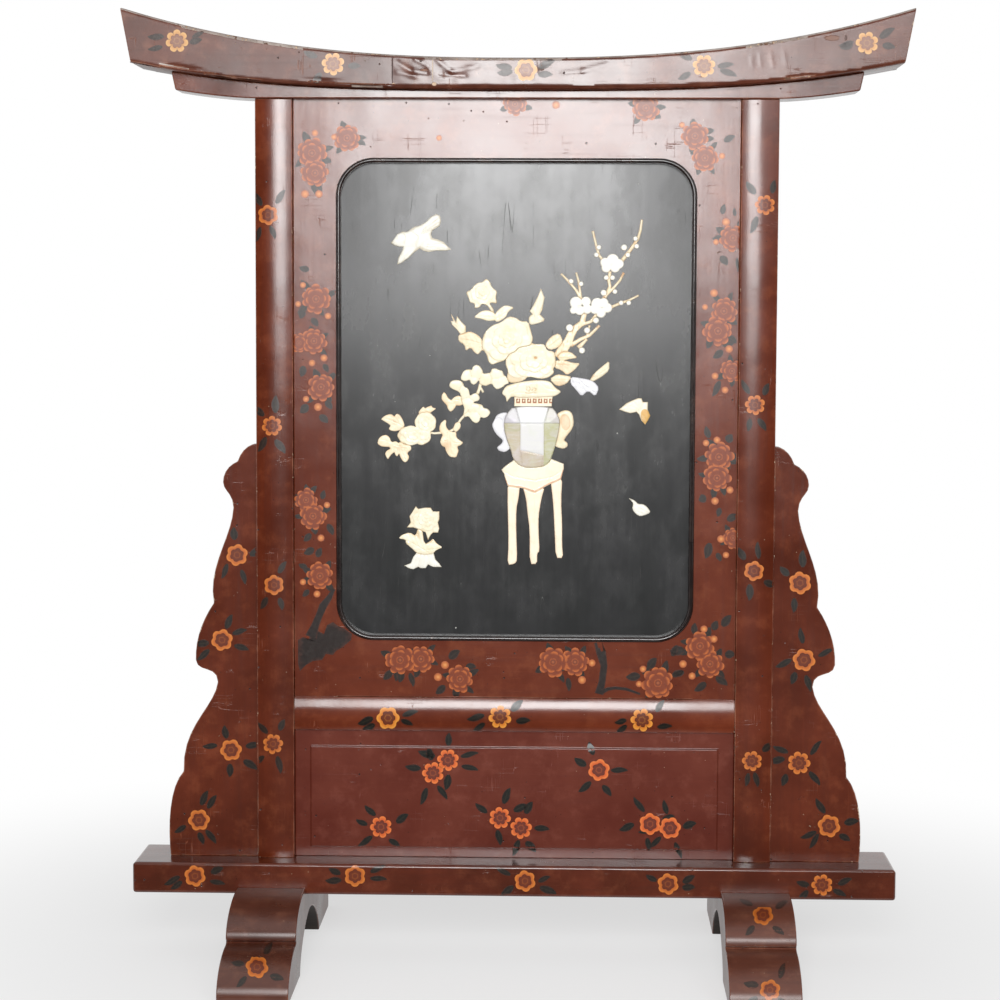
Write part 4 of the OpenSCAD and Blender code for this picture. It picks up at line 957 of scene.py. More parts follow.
def rosette(points, x, y, rings, squash=1.0, turn=0.0, seed=1):
    """Overlapping cupped petals. Each ring is (petals, reach, size, level)."""
    dice = random.Random(seed)
    height = np.zeros(len(points))
    for number, (count, reach, size, level) in enumerate(rings):
        for k in range(count):
            angle = math.radians(turn) + (k + 0.5 * (number % 2)) * 2 * math.pi / count
            angle += dice.uniform(-0.16, 0.16)
            far = reach * dice.uniform(0.9, 1.08)
            big = size * dice.uniform(0.92, 1.1)
            dx = points[:, 0] - x - far * math.cos(angle)
            dy = (points[:, 1] - y) / squash - far * math.sin(angle)
            s = (dx * math.cos(angle) + dy * math.sin(angle)) / big
            t = (dy * math.cos(angle) - dx * math.sin(angle)) / (big * 0.98)
            q = s * s + t * t
            lift = level + 0.20 * s - 0.12 * t * t - 0.05 * np.exp(-((t / 0.10) ** 2))
            lift += 0.018 * np.cos(t * 16.0)
            lift -= 0.14 * np.clip((q - 0.80) / 0.20, 0, 1) ** 2
            lift += dice.uniform(-0.02, 0.02)
            height = np.where(q < 1.0, np.maximum(height, lift), height)
    return height


def leaves(blades, vein=5.0):
    """Leaf blades, each (stalk, tip, half width), with a midrib and side veins."""
    def form(points, gap):
        near = np.full(len(points), FAR)
        height = np.full(len(points), 0.5)
        for order, (stalk, tip, half) in enumerate(blades):
            a, b = np.array(stalk, float), np.array(tip, float)
            run = b - a
            length = np.hypot(*run)
            along = ((points - a) @ run) / length ** 2
            across = ((points - a) @ np.array([-run[1], run[0]]) / length) / half
            bent = across + 0.10 * np.sin(along * 3.1)
            q = np.maximum(np.abs(bent), np.abs(along - 0.5) * 1.9)
            blade = 0.86 - 0.34 * np.abs(bent) ** 1.5 + 0.06 * (order % 2)
            blade -= 0.34 * np.exp(-((bent * half / 0.38) ** 2)) * (along < 0.96)
            blade += 0.07 * np.cos(2 * np.pi * (vein * along - 1.3 * np.abs(bent)))
            height = np.where(q < near, blade, height)
            near = np.minimum(near, q)
        return height * (0.65 + 0.35 * pillow(gap, 1.6))
    return form


def domes(points, discs, hollow=0.0):
    """Round petals and buds, each disc (x, y, radius)."""
    height = np.zeros(len(points))
    for order, (x, y, r) in enumerate(discs):
        dome = mound(points, x, y, r * 1.12)
        cup = 0.50 + 0.42 * dome - hollow * mound(points, x, y, r * 0.6)
        cup = np.where(dome > 0, cup + 0.07 * (order % 3 - 1), 0)
        height = np.maximum(height, cup)
    return height


def scores(points, lines, width=0.3):
    """Fine cut lines, 1 in a cut."""
    cut = np.zeros(len(points))
    for line in lines:
        cut = np.maximum(cut, groove(points, line, width))
    return cut


def fan(root, tips, start=0.2):
    """Lines that run from near root to each tip."""
    return [[(root[0] + (x - root[0]) * start, root[1] + (y - root[1]) * start), (x, y)]
            for x, y in tips]


def bird_form(p, gap):
    body = mound(p, -83, 129, 16, 7.5, 12)
    head = mound(p, -94, 129, 7, 5.5, 20)
    wing = mound(p, -71, 139, 16, 6.5, 40)
    low_wing = mound(p, -88, 117, 12, 5.0, 52)
    tail = mound(p, -65, 124, 14, 4.5, -12)
    height = 0.42 * pillow(gap, 2.5) + 0.55 * np.maximum.reduce(
        [body, 0.95 * head, 0.8 * wing, 0.72 * low_wing, 0.62 * tail])
    cuts = scores(p, fan((-82, 131), [(-60, 147), (-60, 143), (-62, 139.5), (-65, 137)], 0.35))
    cuts = np.maximum(cuts, scores(p, fan((-78, 124), [(-53, 121.5), (-58, 126), (-60, 121)],
                                         0.35)))
    cuts = np.maximum(cuts, scores(p, fan((-82, 123), [(-94, 110), (-91, 111), (-88, 114)],
                                         0.30)))
    cuts = np.maximum(cuts, scores(p, [[(-90, 134), (-88, 130), (-90, 125)],
                                       [(-84, 136), (-78, 131), (-80, 123)]], 0.35))
    eye = np.exp(-(((p[:, 0] + 95.2) ** 2 + (p[:, 1] - 129.6) ** 2) / 0.35))
    return height - 0.30 * cuts - 0.5 * eye


PEONY_LEFT = [(8, 15.0, 11.5, 0.42), (7, 10.0, 9.0, 0.56), (6, 6.0, 6.6, 0.70),
              (5, 3.0, 4.2, 0.82), (3, 1.0, 2.4, 0.93)]
PEONY_RIGHT = [(8, 15.0, 10.5, 0.42), (7, 9.5, 8.6, 0.56), (6, 5.8, 6.0, 0.70),
               (5, 3.0, 3.8, 0.80)]
ROSE = [(7, 8.0, 6.0, 0.45), (6, 5.0, 4.6, 0.62), (5, 2.6, 3.2, 0.78), (3, 0.8, 1.9, 0.92)]
POT_FLOWER = [(8, 9.5, 6.4, 0.45), (6, 5.6, 5.0, 0.60), (5, 3.0, 3.4, 0.76), (3, 0.8, 1.9, 0.9)]

plum_lobes = [
    (77, 113, 5), (71, 111, 4), (82, 110, 4), (72, 107, 4), (79, 107, 4),
    (48, 79, 5), (56, 80, 4), (46, 73, 3), (51, 73, 4), (57, 74, 4),
    (65, 78, 5), (70, 79, 4), (73, 75, 4), (68, 71, 4), (63, 74, 4)]
plum_buds = [
    (66, 123, 2), (64, 117, 2), (95, 130, 2), (96, 124, 2), (86, 123, 2.5), (89, 117, 2),
    (72, 99, 2), (77, 99, 2), (70, 87, 2.5), (79, 88, 2), (84, 79, 2), (90, 79, 2),
    (44, 96, 2), (52, 94, 2), (64, 65, 2.5), (43, 59, 3), (57, 57, 2.5), (53, 41, 2.5)]
# Lobes of the spray's blossoms: middle and half sizes.
spray_lobes = [
    (-40, 20.5, 4.5, 5), (-31.5, 23.5, 4.8, 6), (-33.5, 16.5, 3.6, 4), (-24, 18, 4.6, 5.5),
    (-15.5, 22, 5, 5), (-14, 15, 5.6, 5.6), (-48, 13, 5.6, 4.4), (-40.5, 8, 4.4, 6),
    (-32.5, 3.5, 4.6, 3.8), (-38, -2, 5, 5), (-32.5, -12.5, 5, 5.5), (-25.5, -8.5, 6.5, 5),
    (-33, -5.5, 5, 4)]


def blossom_form(p, gap, discs, hearts):
    height = domes(p, discs, 0.10)
    for x, y in hearts:
        ring = np.hypot(p[:, 0] - x, p[:, 1] - y)
        height = height + 0.16 * np.exp(-((ring - 1.1) / 0.5) ** 2)
        height = height - 0.22 * np.exp(-(ring / 0.5) ** 2)
    return height


def lobes(points, ovals):
    """Overlapping cupped lobes, each (x, y, rx, ry), with a crease where two meet."""
    best = np.full(len(points), -1.0)
    second = np.full(len(points), -1.0)
    height = np.full(len(points), 0.4)
    for order, (x, y, rx, ry) in enumerate(ovals):
        q = 1.0 - np.hypot((points[:, 0] - x) / rx, (points[:, 1] - y) / ry)
        wins = q > best
        second = np.where(wins, best, np.maximum(second, q))
        cup = 0.60 + 0.34 * np.sqrt(np.clip(q, 0, 1)) + 0.07 * (order % 3 - 1)
        height = np.where(wins, cup, height)
        best = np.maximum(best, q)
    return height - 0.24 * np.exp(-((best - second) / 0.07) ** 2)


def spray_form(p, gap):
    height = lobes(p, spray_lobes)
    big = rosette(p, -72, -17.5, [(7, 5.2, 4.4, 0.52), (6, 3.2, 3.2, 0.68), (4, 1.2, 2.0, 0.84)],
                  seed=3)
    low = rosette(p, -82, -28, [(9, 7.2, 4.4, 0.50), (7, 4.4, 3.6, 0.64), (5, 1.8, 2.6, 0.80)],
                  squash=0.75, seed=5)
    side = rosette(p, -73, -28, [(6, 3.6, 3.4, 0.50), (4, 1.4, 2.4, 0.70)], seed=9)
    return np.where(p[:, 0] < -60, np.maximum.reduce([big, low, side, np.full(len(p), 0.36)]),
                    height)


def twig_form(p, gap):
    knots = np.array([noise.noise(Vector((x / 2.2, y / 2.2, 0.5))) for x, y in p])
    return 0.40 + 0.45 * pillow(gap, 1.4) + 0.16 * knots


def bud_form(axis, spikes):
    def form(p, gap):
        return 0.40 + 0.55 * pillow(gap, 2.6) - 0.32 * scores(p, fan(axis, spikes, 0.1), 0.35)
    return form


VASE_EDGES = (4.0, 23.0)
SHOULDER, WAIST = -17.5, -39.0


def vase_form(p, gap):
    u, v = p.T
    left, right = VASE_EDGES
    side = 1.0 - 0.045 * np.clip(left - u, 0, None) - 0.048 * np.clip(u - right, 0, None)
    height = np.minimum.reduce([side, 1.0 - 0.046 * (v - SHOULDER) - 0.012 * np.abs(u - 13.5),
                                1.0 - 0.030 * (WAIST - v)])
    seams = scores(p, [[(-9, SHOULDER), (36, SHOULDER)], [(left, SHOULDER), (left, WAIST),
                   (6, -53)], [(right, SHOULDER), (right, -43), (21, -53)],
                   [(0, -4), (left, SHOULDER)], [(27, -4), (right, SHOULDER)],
                   [(left, WAIST), (right, -43)]], 0.28)
    return height - 0.25 * seams


# Each facet's tone: the shell's own olive and tan tints, and painted shade that makes the side and
# lower facets darker than the white middle.
def vase_tint_and_painted_shade(u, v):
    left, right = VASE_EDGES
    if v > SHOULDER:
        slope = (v - SHOULDER) / 13.5
        if u < left - 4.0 * slope:
            return (182, 180, 181)
        return (208, 208, 208) if u < right + 4.0 * slope else (184, 180, 172)
    if v < WAIST - 4.0 * (u - left) / 19.0 and left < u < right:
        return (186, 172, 150)
    if u < left:
        return (174, 168, 136) if v > -24 else (184, 172, 146)
    return (210, 209, 206) if u < right else (176, 174, 134)


def neck_form(p, gap):
    u, v = p.T
    period = 4.4
    cell = (u % period) / period - 0.5
    row = np.abs(v - 0.4) < 1.75
    hook = (np.abs(cell) < 0.34) & ~((np.abs(cell) < 0.16) & (np.abs(v - 0.4) < 0.65))
    bridge = (np.abs(cell - 0.05) < 0.06) & (v > 0.4)
    pits = row & hook & ~bridge
    rims = 0.25 * (np.abs(v + 3.2) < 0.7) + 0.15 * (np.abs(v - 3.6) < 0.5)
    return np.where(pits, 0.05, 0.65 + rims)


COLLAR_MARK = [[(9.5, 11.5), (8.5, 9.5), (10.5, 8.2), (12, 10.0), (10.8, 11.6)],
               [(13, 8.6), (14.5, 10.6), (16.5, 10.0), (15.8, 8.4)],
               [(8, 7.0), (11, 6.4), (14, 7.2), (17, 6.6)]]


def collar_form(p, gap):
    lip = groove(p, [(-7, 3), (0, 6.5), (13, 7.5), (26, 6.5), (34, 7)], 0.7)
    folds = scores(p, [[(2, 14), (0, 9), (-5, 6)], [(20, 15), (24, 11), (31, 9)],
                       [(10, 15), (9, 11)], [(16, 15), (17, 11)]], 0.45)
    mark = scores(p, COLLAR_MARK, 0.42)
    return 0.50 + 0.42 * pillow(gap, 3.2) - 0.10 * lip - 0.16 * folds - 0.55 * mark


def handle_form(inner):
    def form(p, gap):
        loop = mound(p, *inner)
        return 0.50 + 0.48 * pillow(gap, 2.2) - 0.34 * np.clip(loop * 2.0, 0, 1)
    return form


STAND_LIP = [(-8, -62), (-6, -67), (7, -69), (16, -72), (27, -66), (36.5, -61.5), (38.5, -55)]


def stand_form(p, gap):
    apron = 1.0 - np.clip((away_from(p, stretches_of(STAND_LIP)) - 1.2) / 7.0, 0, 1)
    edge = groove(p, [(-10, -56), (-2, -60.5), (16, -63.5), (30, -60.5), (38.5, -54.5)], 0.5)
    return 0.92 - 0.26 * apron - 0.22 * edge + 0.10 * groove(p, STAND_LIP, 0.8)


def leg_form(p, gap):
    flutes = scores(p, [[(-2, -70), (-2, -90), (-3, -129)], [(15, -72), (15.5, -100), (15, -129)],
                        [(34, -64), (35, -90), (36, -124)]], 0.5)
    return 0.45 + 0.50 * pillow(gap, 2.0) - 0.22 * flutes


def pot_form(p, gap):
    ribs = scores(p, fan((-72.5, -112), [(-84, -135), (-79, -135), (-74, -135), (-69, -133),
                                         (-63, -133)], 0.42), 0.45)
    waist = groove(p, [(-80, -124), (-72, -125.5), (-65, -124)], 0.5)
    return 0.45 + 0.50 * pillow(gap, 3.0) - 0.20 * ribs - 0.25 * waist


def butterfly_form(p, gap):
    ribs = scores(p, fan((101, -7), [(84, -6), (88, -1.5), (94, 1), (99, 2.5), (91, -7.5)], 0.15),
                  0.35)
    body = groove(p, [(99, -8), (102, -2), (103, 1)], 0.6)
    lines = scores(p, [[(102, -10), (106, -15)], [(101.5, -13), (104, -17)]], 0.3)
    return 0.45 + 0.45 * pillow(gap, 2.4) - 0.20 * ribs - 0.30 * body - 0.2 * lines


def petal_form(p, gap):
    cuts = scores(p, [[(95, -82), (101, -86), (107, -89)], [(98, -88), (103, -90)]], 0.35)
    return 0.45 + 0.5 * pillow(gap, 3.0) - 0.22 * cuts


carve("bird", "white", bird_form,
      stain=lambda p, g, r: 0.5 * np.exp(-(np.hypot(p[:, 0] + 99, p[:, 1] - 126) / 2.5) ** 2))
carve("rose", "cream",
      lambda p, g: np.maximum(rosette(p, -27, 86.5, ROSE, seed=11), 0.34 + 0.2 * pillow(g, 2)))
carve("peony_left", "cream",
      lambda p, g: np.maximum(rosette(p, -7, 49, PEONY_LEFT, 0.92, 15, 21), 0.30),
      stain=lambda p, g, r: 0.45 * mound(p, -22, 52, 9, 7) * (1.0 - r))
carve("peony_right", "cream",
      lambda p, g: np.maximum(rosette(p, 14.5, 32.5, PEONY_RIGHT, 0.80, 40, 34), 0.30)
      - 0.5 * mound(p, 16, 35, 1.7, 1.3),
      stain=dye(0.8, (16, 35, 1.7, 1.3)))
carve("rose_leaves", "cream", leaves([
    ((-16, 67), (-34, 67.5), 4.5), ((-17, 65.5), (-2, 75), 4.2), ((-13, 70), (-8, 77), 2.5)]))
carve("leaf_left", "tan", leaves([
    ((-25, 45), (-46, 50), 6.0), ((-27, 48), (-30, 38), 4.0), ((-33, 50), (-40, 41), 4.0)]),
    stain=dye(0.4, (-38, 51, 11, 4.5, -10)))
carve("leaves_right", "tan", leaves([
    ((25, 43), (37, 53), 5.5), ((34, 35), (50, 36), 4.0), ((32, 30), (52, 30), 6.5),
    ((28, 18), (45, 18), 4.5)]),
    stain=dye(0.42, (38, 29, 8, 5), (37, 15, 8, 4)))
carve("leaf_white", "lilac", leaves([
    ((45, 18), (53, 5), 6.5), ((50, 18), (66, 6), 5.5)], vein=3.0))
carve("bud_left", "cream",
      bud_form((-43, 55), [(-51, 68), (-48, 63), (-50, 62), (-45, 63)]))
carve("bud_upper", "cream",
      bud_form((16, 64), [(13, 73), (20, 87), (18, 80), (22, 78), (23, 65)]))
carve("bud_right", "cream",
      bud_form((61, 18), [(74, 31), (74, 27), (70, 28), (68, 21)]),
      stain=dye(0.5, (63, 20, 4, 3)))
carve("plum_branch", "tan", twig_form,
      stain=lambda p, g, r: 0.55 * np.array([
          max(0.0, noise.noise(Vector((x / 1.6, y / 5.0, 2.5))) - 0.05) * 2.0 for x, y in p]),
      step=0.5, shoulder=0.6)
carve("plum_blossoms", "white",
      lambda p, g: blossom_form(p, g, plum_lobes + plum_buds,
                                [(76.5, 110), (50.5, 76.5), (67, 75.5)]), step=0.5)
carve("spray_stems", "cream", twig_form, step=0.5, shoulder=0.6)
carve("spray_leaves", "tan", leaves([
    ((-42, 0), (-50, 1), 3.6), ((-50, -1), (-58, 6), 3.4), ((-50, -3), (-52, -9), 3.0),
    ((-70, -9), (-76, -7), 3.0), ((-69, -8), (-64, -5), 2.4), ((-91, -20), (-106, -14), 5.5),
    ((-93, -16), (-96, -11), 3.5), ((-96, -20), (-100, -23), 3.4),
    ((-99, -34), (-109, -31), 4.6), ((-92, -37), (-98, -35), 4.0), ((-92, -38), (-88, -48), 3.4),
    ((-97, -38), (-103, -45), 3.0), ((-92, -38), (-84.5, -38), 3.0), ((-95, -38), (-95, -44), 2.0),
    ((-58, -25), (-57, -16), 3.0), ((-53, -27), (-51, -44), 5.0),
    ((-51, -33), (-42.5, -33.5), 3.4), ((-53, -32), (-60, -33), 4.0), ((-49, -24), (-45, -18), 3.0)
    ], vein=3.0),
    stain=dye(0.45, (-97, -15, 6, 5), (-93, -38, 6, 4), (-55, -36, 5, 7)),
    slot="cream_bone")
carve("spray_blossoms", "cream", spray_form, step=0.5, slot="white_bone")
carve("vase_collar", "cream", collar_form,
      stain=lambda p, g, r: 0.55 * scores(p, COLLAR_MARK, 0.4))
carve("vase_neck", "fretwork", neck_form, step=0.32, shoulder=0.3,
      stain=lambda p, g, r: 1.0 * (r < 0.3))
carve("vase_body", "pearl", vase_form, facet=vase_tint_and_painted_shade, step=0.6)
carve("handle_left", "lilac", handle_form((-12.5, -18, 3.6, 5.5, 20)))
carve("handle_right", "tan", handle_form((40, -16.5, 4.0, 6.5, 8)),
      stain=lambda p, g, r: 0.5 * np.clip(mound(p, 40, -16.5, 4.4, 7.0, 8) * 2, 0, 1))
carve("stand_top", "stand", stand_form,
      stain=lambda p, g, r: 0.75 * groove(p, STAND_LIP, 0.7))
carve("stand_legs", "stand", leg_form,
      stain=lambda p, g, r: 0.42 * np.exp(-(g / 0.5) ** 2))
carve("pot_flower", "cream",
      lambda p, g: np.maximum(rosette(p, -72, -95.5, POT_FLOWER, 0.9, 10, 51), 0.32))
carve("pot_leaves", "cream", leaves([
    ((-72, -121), (-93, -110), 5.0), ((-71, -120), (-58, -118), 4.0),
    ((-73, -116), (-76, -102), 2.0)]))
carve("pot", "white", pot_form)
carve("butterfly", "golden", butterfly_form,
      stain=lambda p, g, r: 0.9 * np.clip(mound(p, 104.5, -12, 4.2, 7.0, 15) * 2, 0, 1))
carve("petal", "white", petal_form)


# ---------------------------------------------------------------- painted flowers

# Where a flower's heart ends and its petals begin, as shares of its radius.
HEART, RING, DOT, NO_HEART = (0.56, 0.64), (0.40, 0.54), (0.30, 0.34), (0.02, 0.08)
# Rim, body, heart and line of each flower paint.
PAINTS = {name: painted_petals(material, *look) for name, material, *look in (
    ("golden", "golden_flower_paint",
     (216, 142, 52), (200, 116, 36), (102, 46, 24), (82, 32, 13), HEART),
    # Pale paint for the cap's flowers: faded paint, and a painted sheen of the lamp's shine on the
    # cap.
    ("pale", "pale_flower_paint_with_painted_sheen",
     (224, 174, 104), (210, 152, 86), (138, 98, 78), (122, 80, 56), HEART),
    ("orange", "orange_flower_paint",
     (216, 112, 48), (198, 88, 34), (104, 44, 30), (86, 30, 16), HEART),
    ("ochre", "ochre_flower_paint",
     (200, 114, 38), (180, 92, 28), (100, 40, 16), (80, 28, 9), HEART),
    ("petal", "peony_petal_paint",
     (188, 98, 36), (124, 52, 19), (120, 52, 28), (98, 38, 20), NO_HEART, 0.70),
    ("cup", "peony_heart_paint",
     (160, 80, 32), (122, 50, 18), (150, 80, 44), (100, 42, 22), RING),
    ("berry", "berry_paint",
     (166, 84, 40), (204, 124, 58), (222, 152, 84), (200, 118, 56), DOT),
)}
PAINTS["leaf"] = painted_leaf("dark_leaf_paint", (13, 15, 12), (24, 24, 19), (54, 50, 36))
PAINTS["rock"] = painted_leaf("black_rock_paint", (12, 14, 12), (26, 27, 24), (32, 32, 28),
                              veins=0.2)
PAINT_DEPTH = 0.25  # mm of paint below the surface
PETALS = ((9, 0.66, 0.37), (6, 0.36, 0.36))  # of a peony: number, reach and size in each ring
PETAL_JITTER, PETAL_REACH, PETAL_SIZE = 0.14, (0.92, 1.08), (0.88, 1.10)
# A small flower's leaves: sway of their places and turns, start in flower sizes, length, width.
LEAF_SWAY, LEAF_TURN, LEAF_START, LEAF_LENGTH, LEAF_WIDTH = (
    0.3, 0.4, (1.1, 1.5), (12, 18), (5.6, 8.4))
# The same of the leaves behind a peony, all in peony sizes.
BACK_START, BACK_LENGTH, BACK_WIDTH, BACK_LEAVES = (0.6, 0.8), (0.7, 0.95), (0.4, 0.6), 4
SAME_FACE = 0.012  # a spot further in front of or behind the middle is on another face
PULL = 0.06  # step by which such a spot is pulled towards the middle
FULL_TURN = 6.28
FLOWER_RINGS = (0.2, 0.32, 0.4, 0.5, 0.58, 0.7, 0.85, 1.0)
CUP_RINGS, PETAL_RINGS, BLOT_RINGS = (0.4, 0.6, 0.8, 1.0), (0.4, 0.7, 0.88, 1.0), (0.35, 0.7, 1.0)


def inside_box(spot):
    """The nearest place that the CAD model's box holds."""
    low, high = cad_box
    return Vector([min(max(c, a), b) for c, a, b in zip(spot, low, high)])


def step_off(px, py, angle, far):
    """The pixel that lies at an angle and a distance from another."""
    return px + far * math.cos(angle), py - far * math.sin(angle)


class Brush:
    """Paints thin raised shapes on a piece, each point laid where the picture shows it."""

    def __init__(self, *carriers, fade=0.0):
        corners, faces = [], []
        for piece in carriers:
            start = len(corners)
            corners += [v.co.copy() for v in piece.data.vertices]
            faces += [[start + i for i in p.vertices] for p in piece.data.polygons]
        self.tree = BVHTree.FromPolygons(corners, faces)
        self.corners, self.faces, self.paints = [], [], []
        self.values = {"reach": [], "lobe": [], "fade": []}
        self.fade = fade

    def land(self, px, py):
        return self.tree.ray_cast(CAMERA_AT, sight(px, py))[:2]

    def lay(self, middle, spots, faces, rim, paint_at, tones, lift):
        """spots are pixels; rim is the order of the edge points, for the closing sides."""
        centre, _ = self.land(*middle)
        if centre is None:
            return
        tops, unders = [], []
        for px, py in spots:
            pull = 0.0
            while True:
                hit, normal = self.land(px + (middle[0] - px) * pull,
                                        py + (middle[1] - py) * pull)
                if hit is not None and abs(hit.y - centre.y) < SAME_FACE:
                    break
                pull += PULL
                if pull > 1.0:
                    hit, normal = centre, Vector((0, -1, 0))
                    break
            tops.append(inside_box(hit + normal * lift * MM))
            unders.append(inside_box(hit - normal * PAINT_DEPTH * MM))
        start, count = len(self.corners), len(tops)
        self.corners += tops + [unders[i] for i in rim]
        tones = tones + [tones[i] for i in rim]
        self.values["reach"] += [tone[0] for tone in tones]
        self.values["lobe"] += [tone[1] for tone in tones]
        self.values["fade"] += [self.fade] * len(tones)
        made = [tuple(start + i for i in f) for f in faces]
        below = [start + count + k for k in range(len(rim))]
        above = [start + i for i in rim]
        for k in range(len(rim)):
            n = (k + 1) % len(rim)
            made.append((above[n], above[k], below[k], below[n]))
        made.append(tuple(reversed(below)))
        self.faces += made
        self.paints += [paint_at] * len(made)

    def fill(self, spots, tones, around, paint_at, lift):
        """Paints the inside of rings of pixels, so many around, the first one in the middle."""
        last = len(spots) - around
        faces = [(0, 1 + k, 1 + (k + 1) % around) for k in range(around)]
        for a in range(1, last, around):
            b = a + around
            faces += [(a + k, b + k, b + (k + 1) % around, a + (k + 1) % around)
                      for k in range(around)]
        self.lay(spots[0], spots, faces, range(last, last + around), paint_at, tones, lift)

    def disc(self, px, py, edge, tone, paint_at, lift, rings, parts, turn):
        """A filled round: edge gives its radius at an angle, tone its two paint values."""
        spots, tones = [(px, py)], [tone(0.0, 0.0)]
        for ring in rings:
            for k in range(parts):
                angle = 2 * math.pi * k / parts
                spots.append(step_off(px, py, angle + turn, ring * edge(angle)))
                tones.append(tone(ring, angle))
        self.fill(spots, tones, parts, paint_at, lift)

    def flower(self, px, py, size, lobes, dent, turn, paint_at, lift=0.10, rings=FLOWER_RINGS,
               parts=42):
        """A round flower with a dent between each two of its lobes."""
        def wave(angle):
            return abs(math.cos(0.5 * lobes * angle)) if lobes else 1.0
        self.disc(px, py, lambda angle: size * (1.0 - dent * (1.0 - wave(angle) ** 0.6)),
                  lambda ring, angle: (ring, wave(angle)), paint_at, lift, rings, parts, turn)

    def petal(self, px, py, angle, far, size, lift):
        """A round petal of a peony, its outer edge pale."""
        self.disc(*step_off(px, py, angle, far), lambda a: size * (1.0 + 0.12 * math.cos(2 * a)),
                  lambda ring, a: (0.5 + 0.5 * ring * math.cos(a), 1 - abs(ring * math.sin(a))),
                  "petal", lift, PETAL_RINGS, 18, angle)

    def strip(self, line, widths, paint_at, lift, across=4):
        """A band along a line of pixels, as wide at each point as widths says."""
        count = len(line)
        spots, tones = [], []
        for i, (x, y) in enumerate(line):
            ax, ay = line[max(i - 1, 0)]
            bx, by = line[min(i + 1, count - 1)]
            length = math.hypot(bx - ax, by - ay) or 1.0
            nx, ny = -(by - ay) / length, (bx - ax) / length
            for k in range(across + 1):
                t = 2.0 * k / across - 1.0
                spots.append((x + nx * widths[i] * 0.5 * t, y + ny * widths[i] * 0.5 * t))
                tones.append((i / (count - 1), t))
        row = across + 1
        faces = [(i * row + k, (i + 1) * row + k, (i + 1) * row + k + 1, i * row + k + 1)
                 for i in range(count - 1) for k in range(across)]
        rim = ([i * row for i in range(count)]
               + [(count - 1) * row + k for k in range(1, row)]
               + [i * row + across for i in reversed(range(count - 1))]
               + [k for k in reversed(range(1, across))])
        self.lay(line[count // 2], spots, faces, rim, paint_at, tones, lift)

    def leaf(self, px, py, angle, length, width, bend=0.12, lift=0.04, parts=7):
        """A pointed leaf that starts at a pixel and runs off at an angle."""
        line, widths = [], []
        for i in range(parts + 1):
            s = i / parts
            line.append(step_off(px, py, angle + bend * math.sin(s * 2.6), length * s))
            widths.append(max(0.8, width * math.sin(math.pi * min(1, s * 0.93 + 0.05)) ** 0.7
                              * (1.15 - 0.35 * s)))
        self.strip(line, widths, "leaf", lift)

    def blot(self, outline, lift):
        """A patch of dark paint inside a ring of pixels, all of it in sight of its middle."""
        mx, my = (sum(spot[k] for spot in outline) / len(outline) for k in (0, 1))
        spots, tones = [(mx, my)], [(0.5, 0.0)]
        for ring in BLOT_RINGS:
            for x, y in outline:
                spots.append((mx + (x - mx) * ring, my + (y - my) * ring))
                tones.append((0.5 + 0.4 * (x - mx) / 30.0, ring * 0.9))
        self.fill(spots, tones, len(outline), "rock", lift)

    def sprig(self, px, py, dice, size, shade, ways):
        """A small flower with leaves round it, each on its way out at an angle in degrees."""
        for way in ways or [72.0 * k + dice.uniform(0, 50) for k in range(5)]:
            angle = math.radians(way) + dice.uniform(-LEAF_SWAY, LEAF_SWAY)
            far = size * dice.uniform(*LEAF_START)
            self.leaf(*step_off(px, py, angle, far), angle + dice.uniform(-LEAF_TURN, LEAF_TURN),
                      dice.uniform(*LEAF_LENGTH), dice.uniform(*LEAF_WIDTH))
        self.flower(px, py, size, dice.choice((6, 7)), 0.26, dice.uniform(0, FULL_TURN), shade)

    def peony(self, px, py, size, dice, level):
        """A full flower: two rings of ruffled petals round a small heart."""
        turn = dice.uniform(0, FULL_TURN)
        for ring, (count, far, big) in enumerate(PETALS):
            for k in range(count):
                angle = (turn + 0.35 * ring + 2 * math.pi * k / count
                         + dice.uniform(-PETAL_JITTER, PETAL_JITTER))
                self.petal(px, py, angle, size * far * dice.uniform(*PETAL_REACH),
                           size * big * dice.uniform(*PETAL_SIZE),
                           0.05 + 0.012 * (k % 3) + 0.045 * ring + level)
        self.flower(px, py, size * 0.28, 5, 0.10, turn + 0.4, "cup", 0.15 + level, CUP_RINGS, 20)

    def finish(self, name, slot):
        """Makes the piece that holds all that was painted."""
        mesh = bpy.data.meshes.new(name)
        mesh.from_pydata(self.corners, [], self.faces)
        used = sorted(set(self.paints))
        for paint_at in used:
            mesh.materials.append(PAINTS[paint_at])
        mesh.polygons.foreach_set("material_index", [used.index(p) for p in self.paints])
        mesh.update()
        for label, values in self.values.items():
            mesh.attributes.new(label, "FLOAT", "POINT").data.foreach_set("value", values)
        piece = add(name, mesh)
        smooth(piece, sharpest=30)
        return keep(piece, slot)


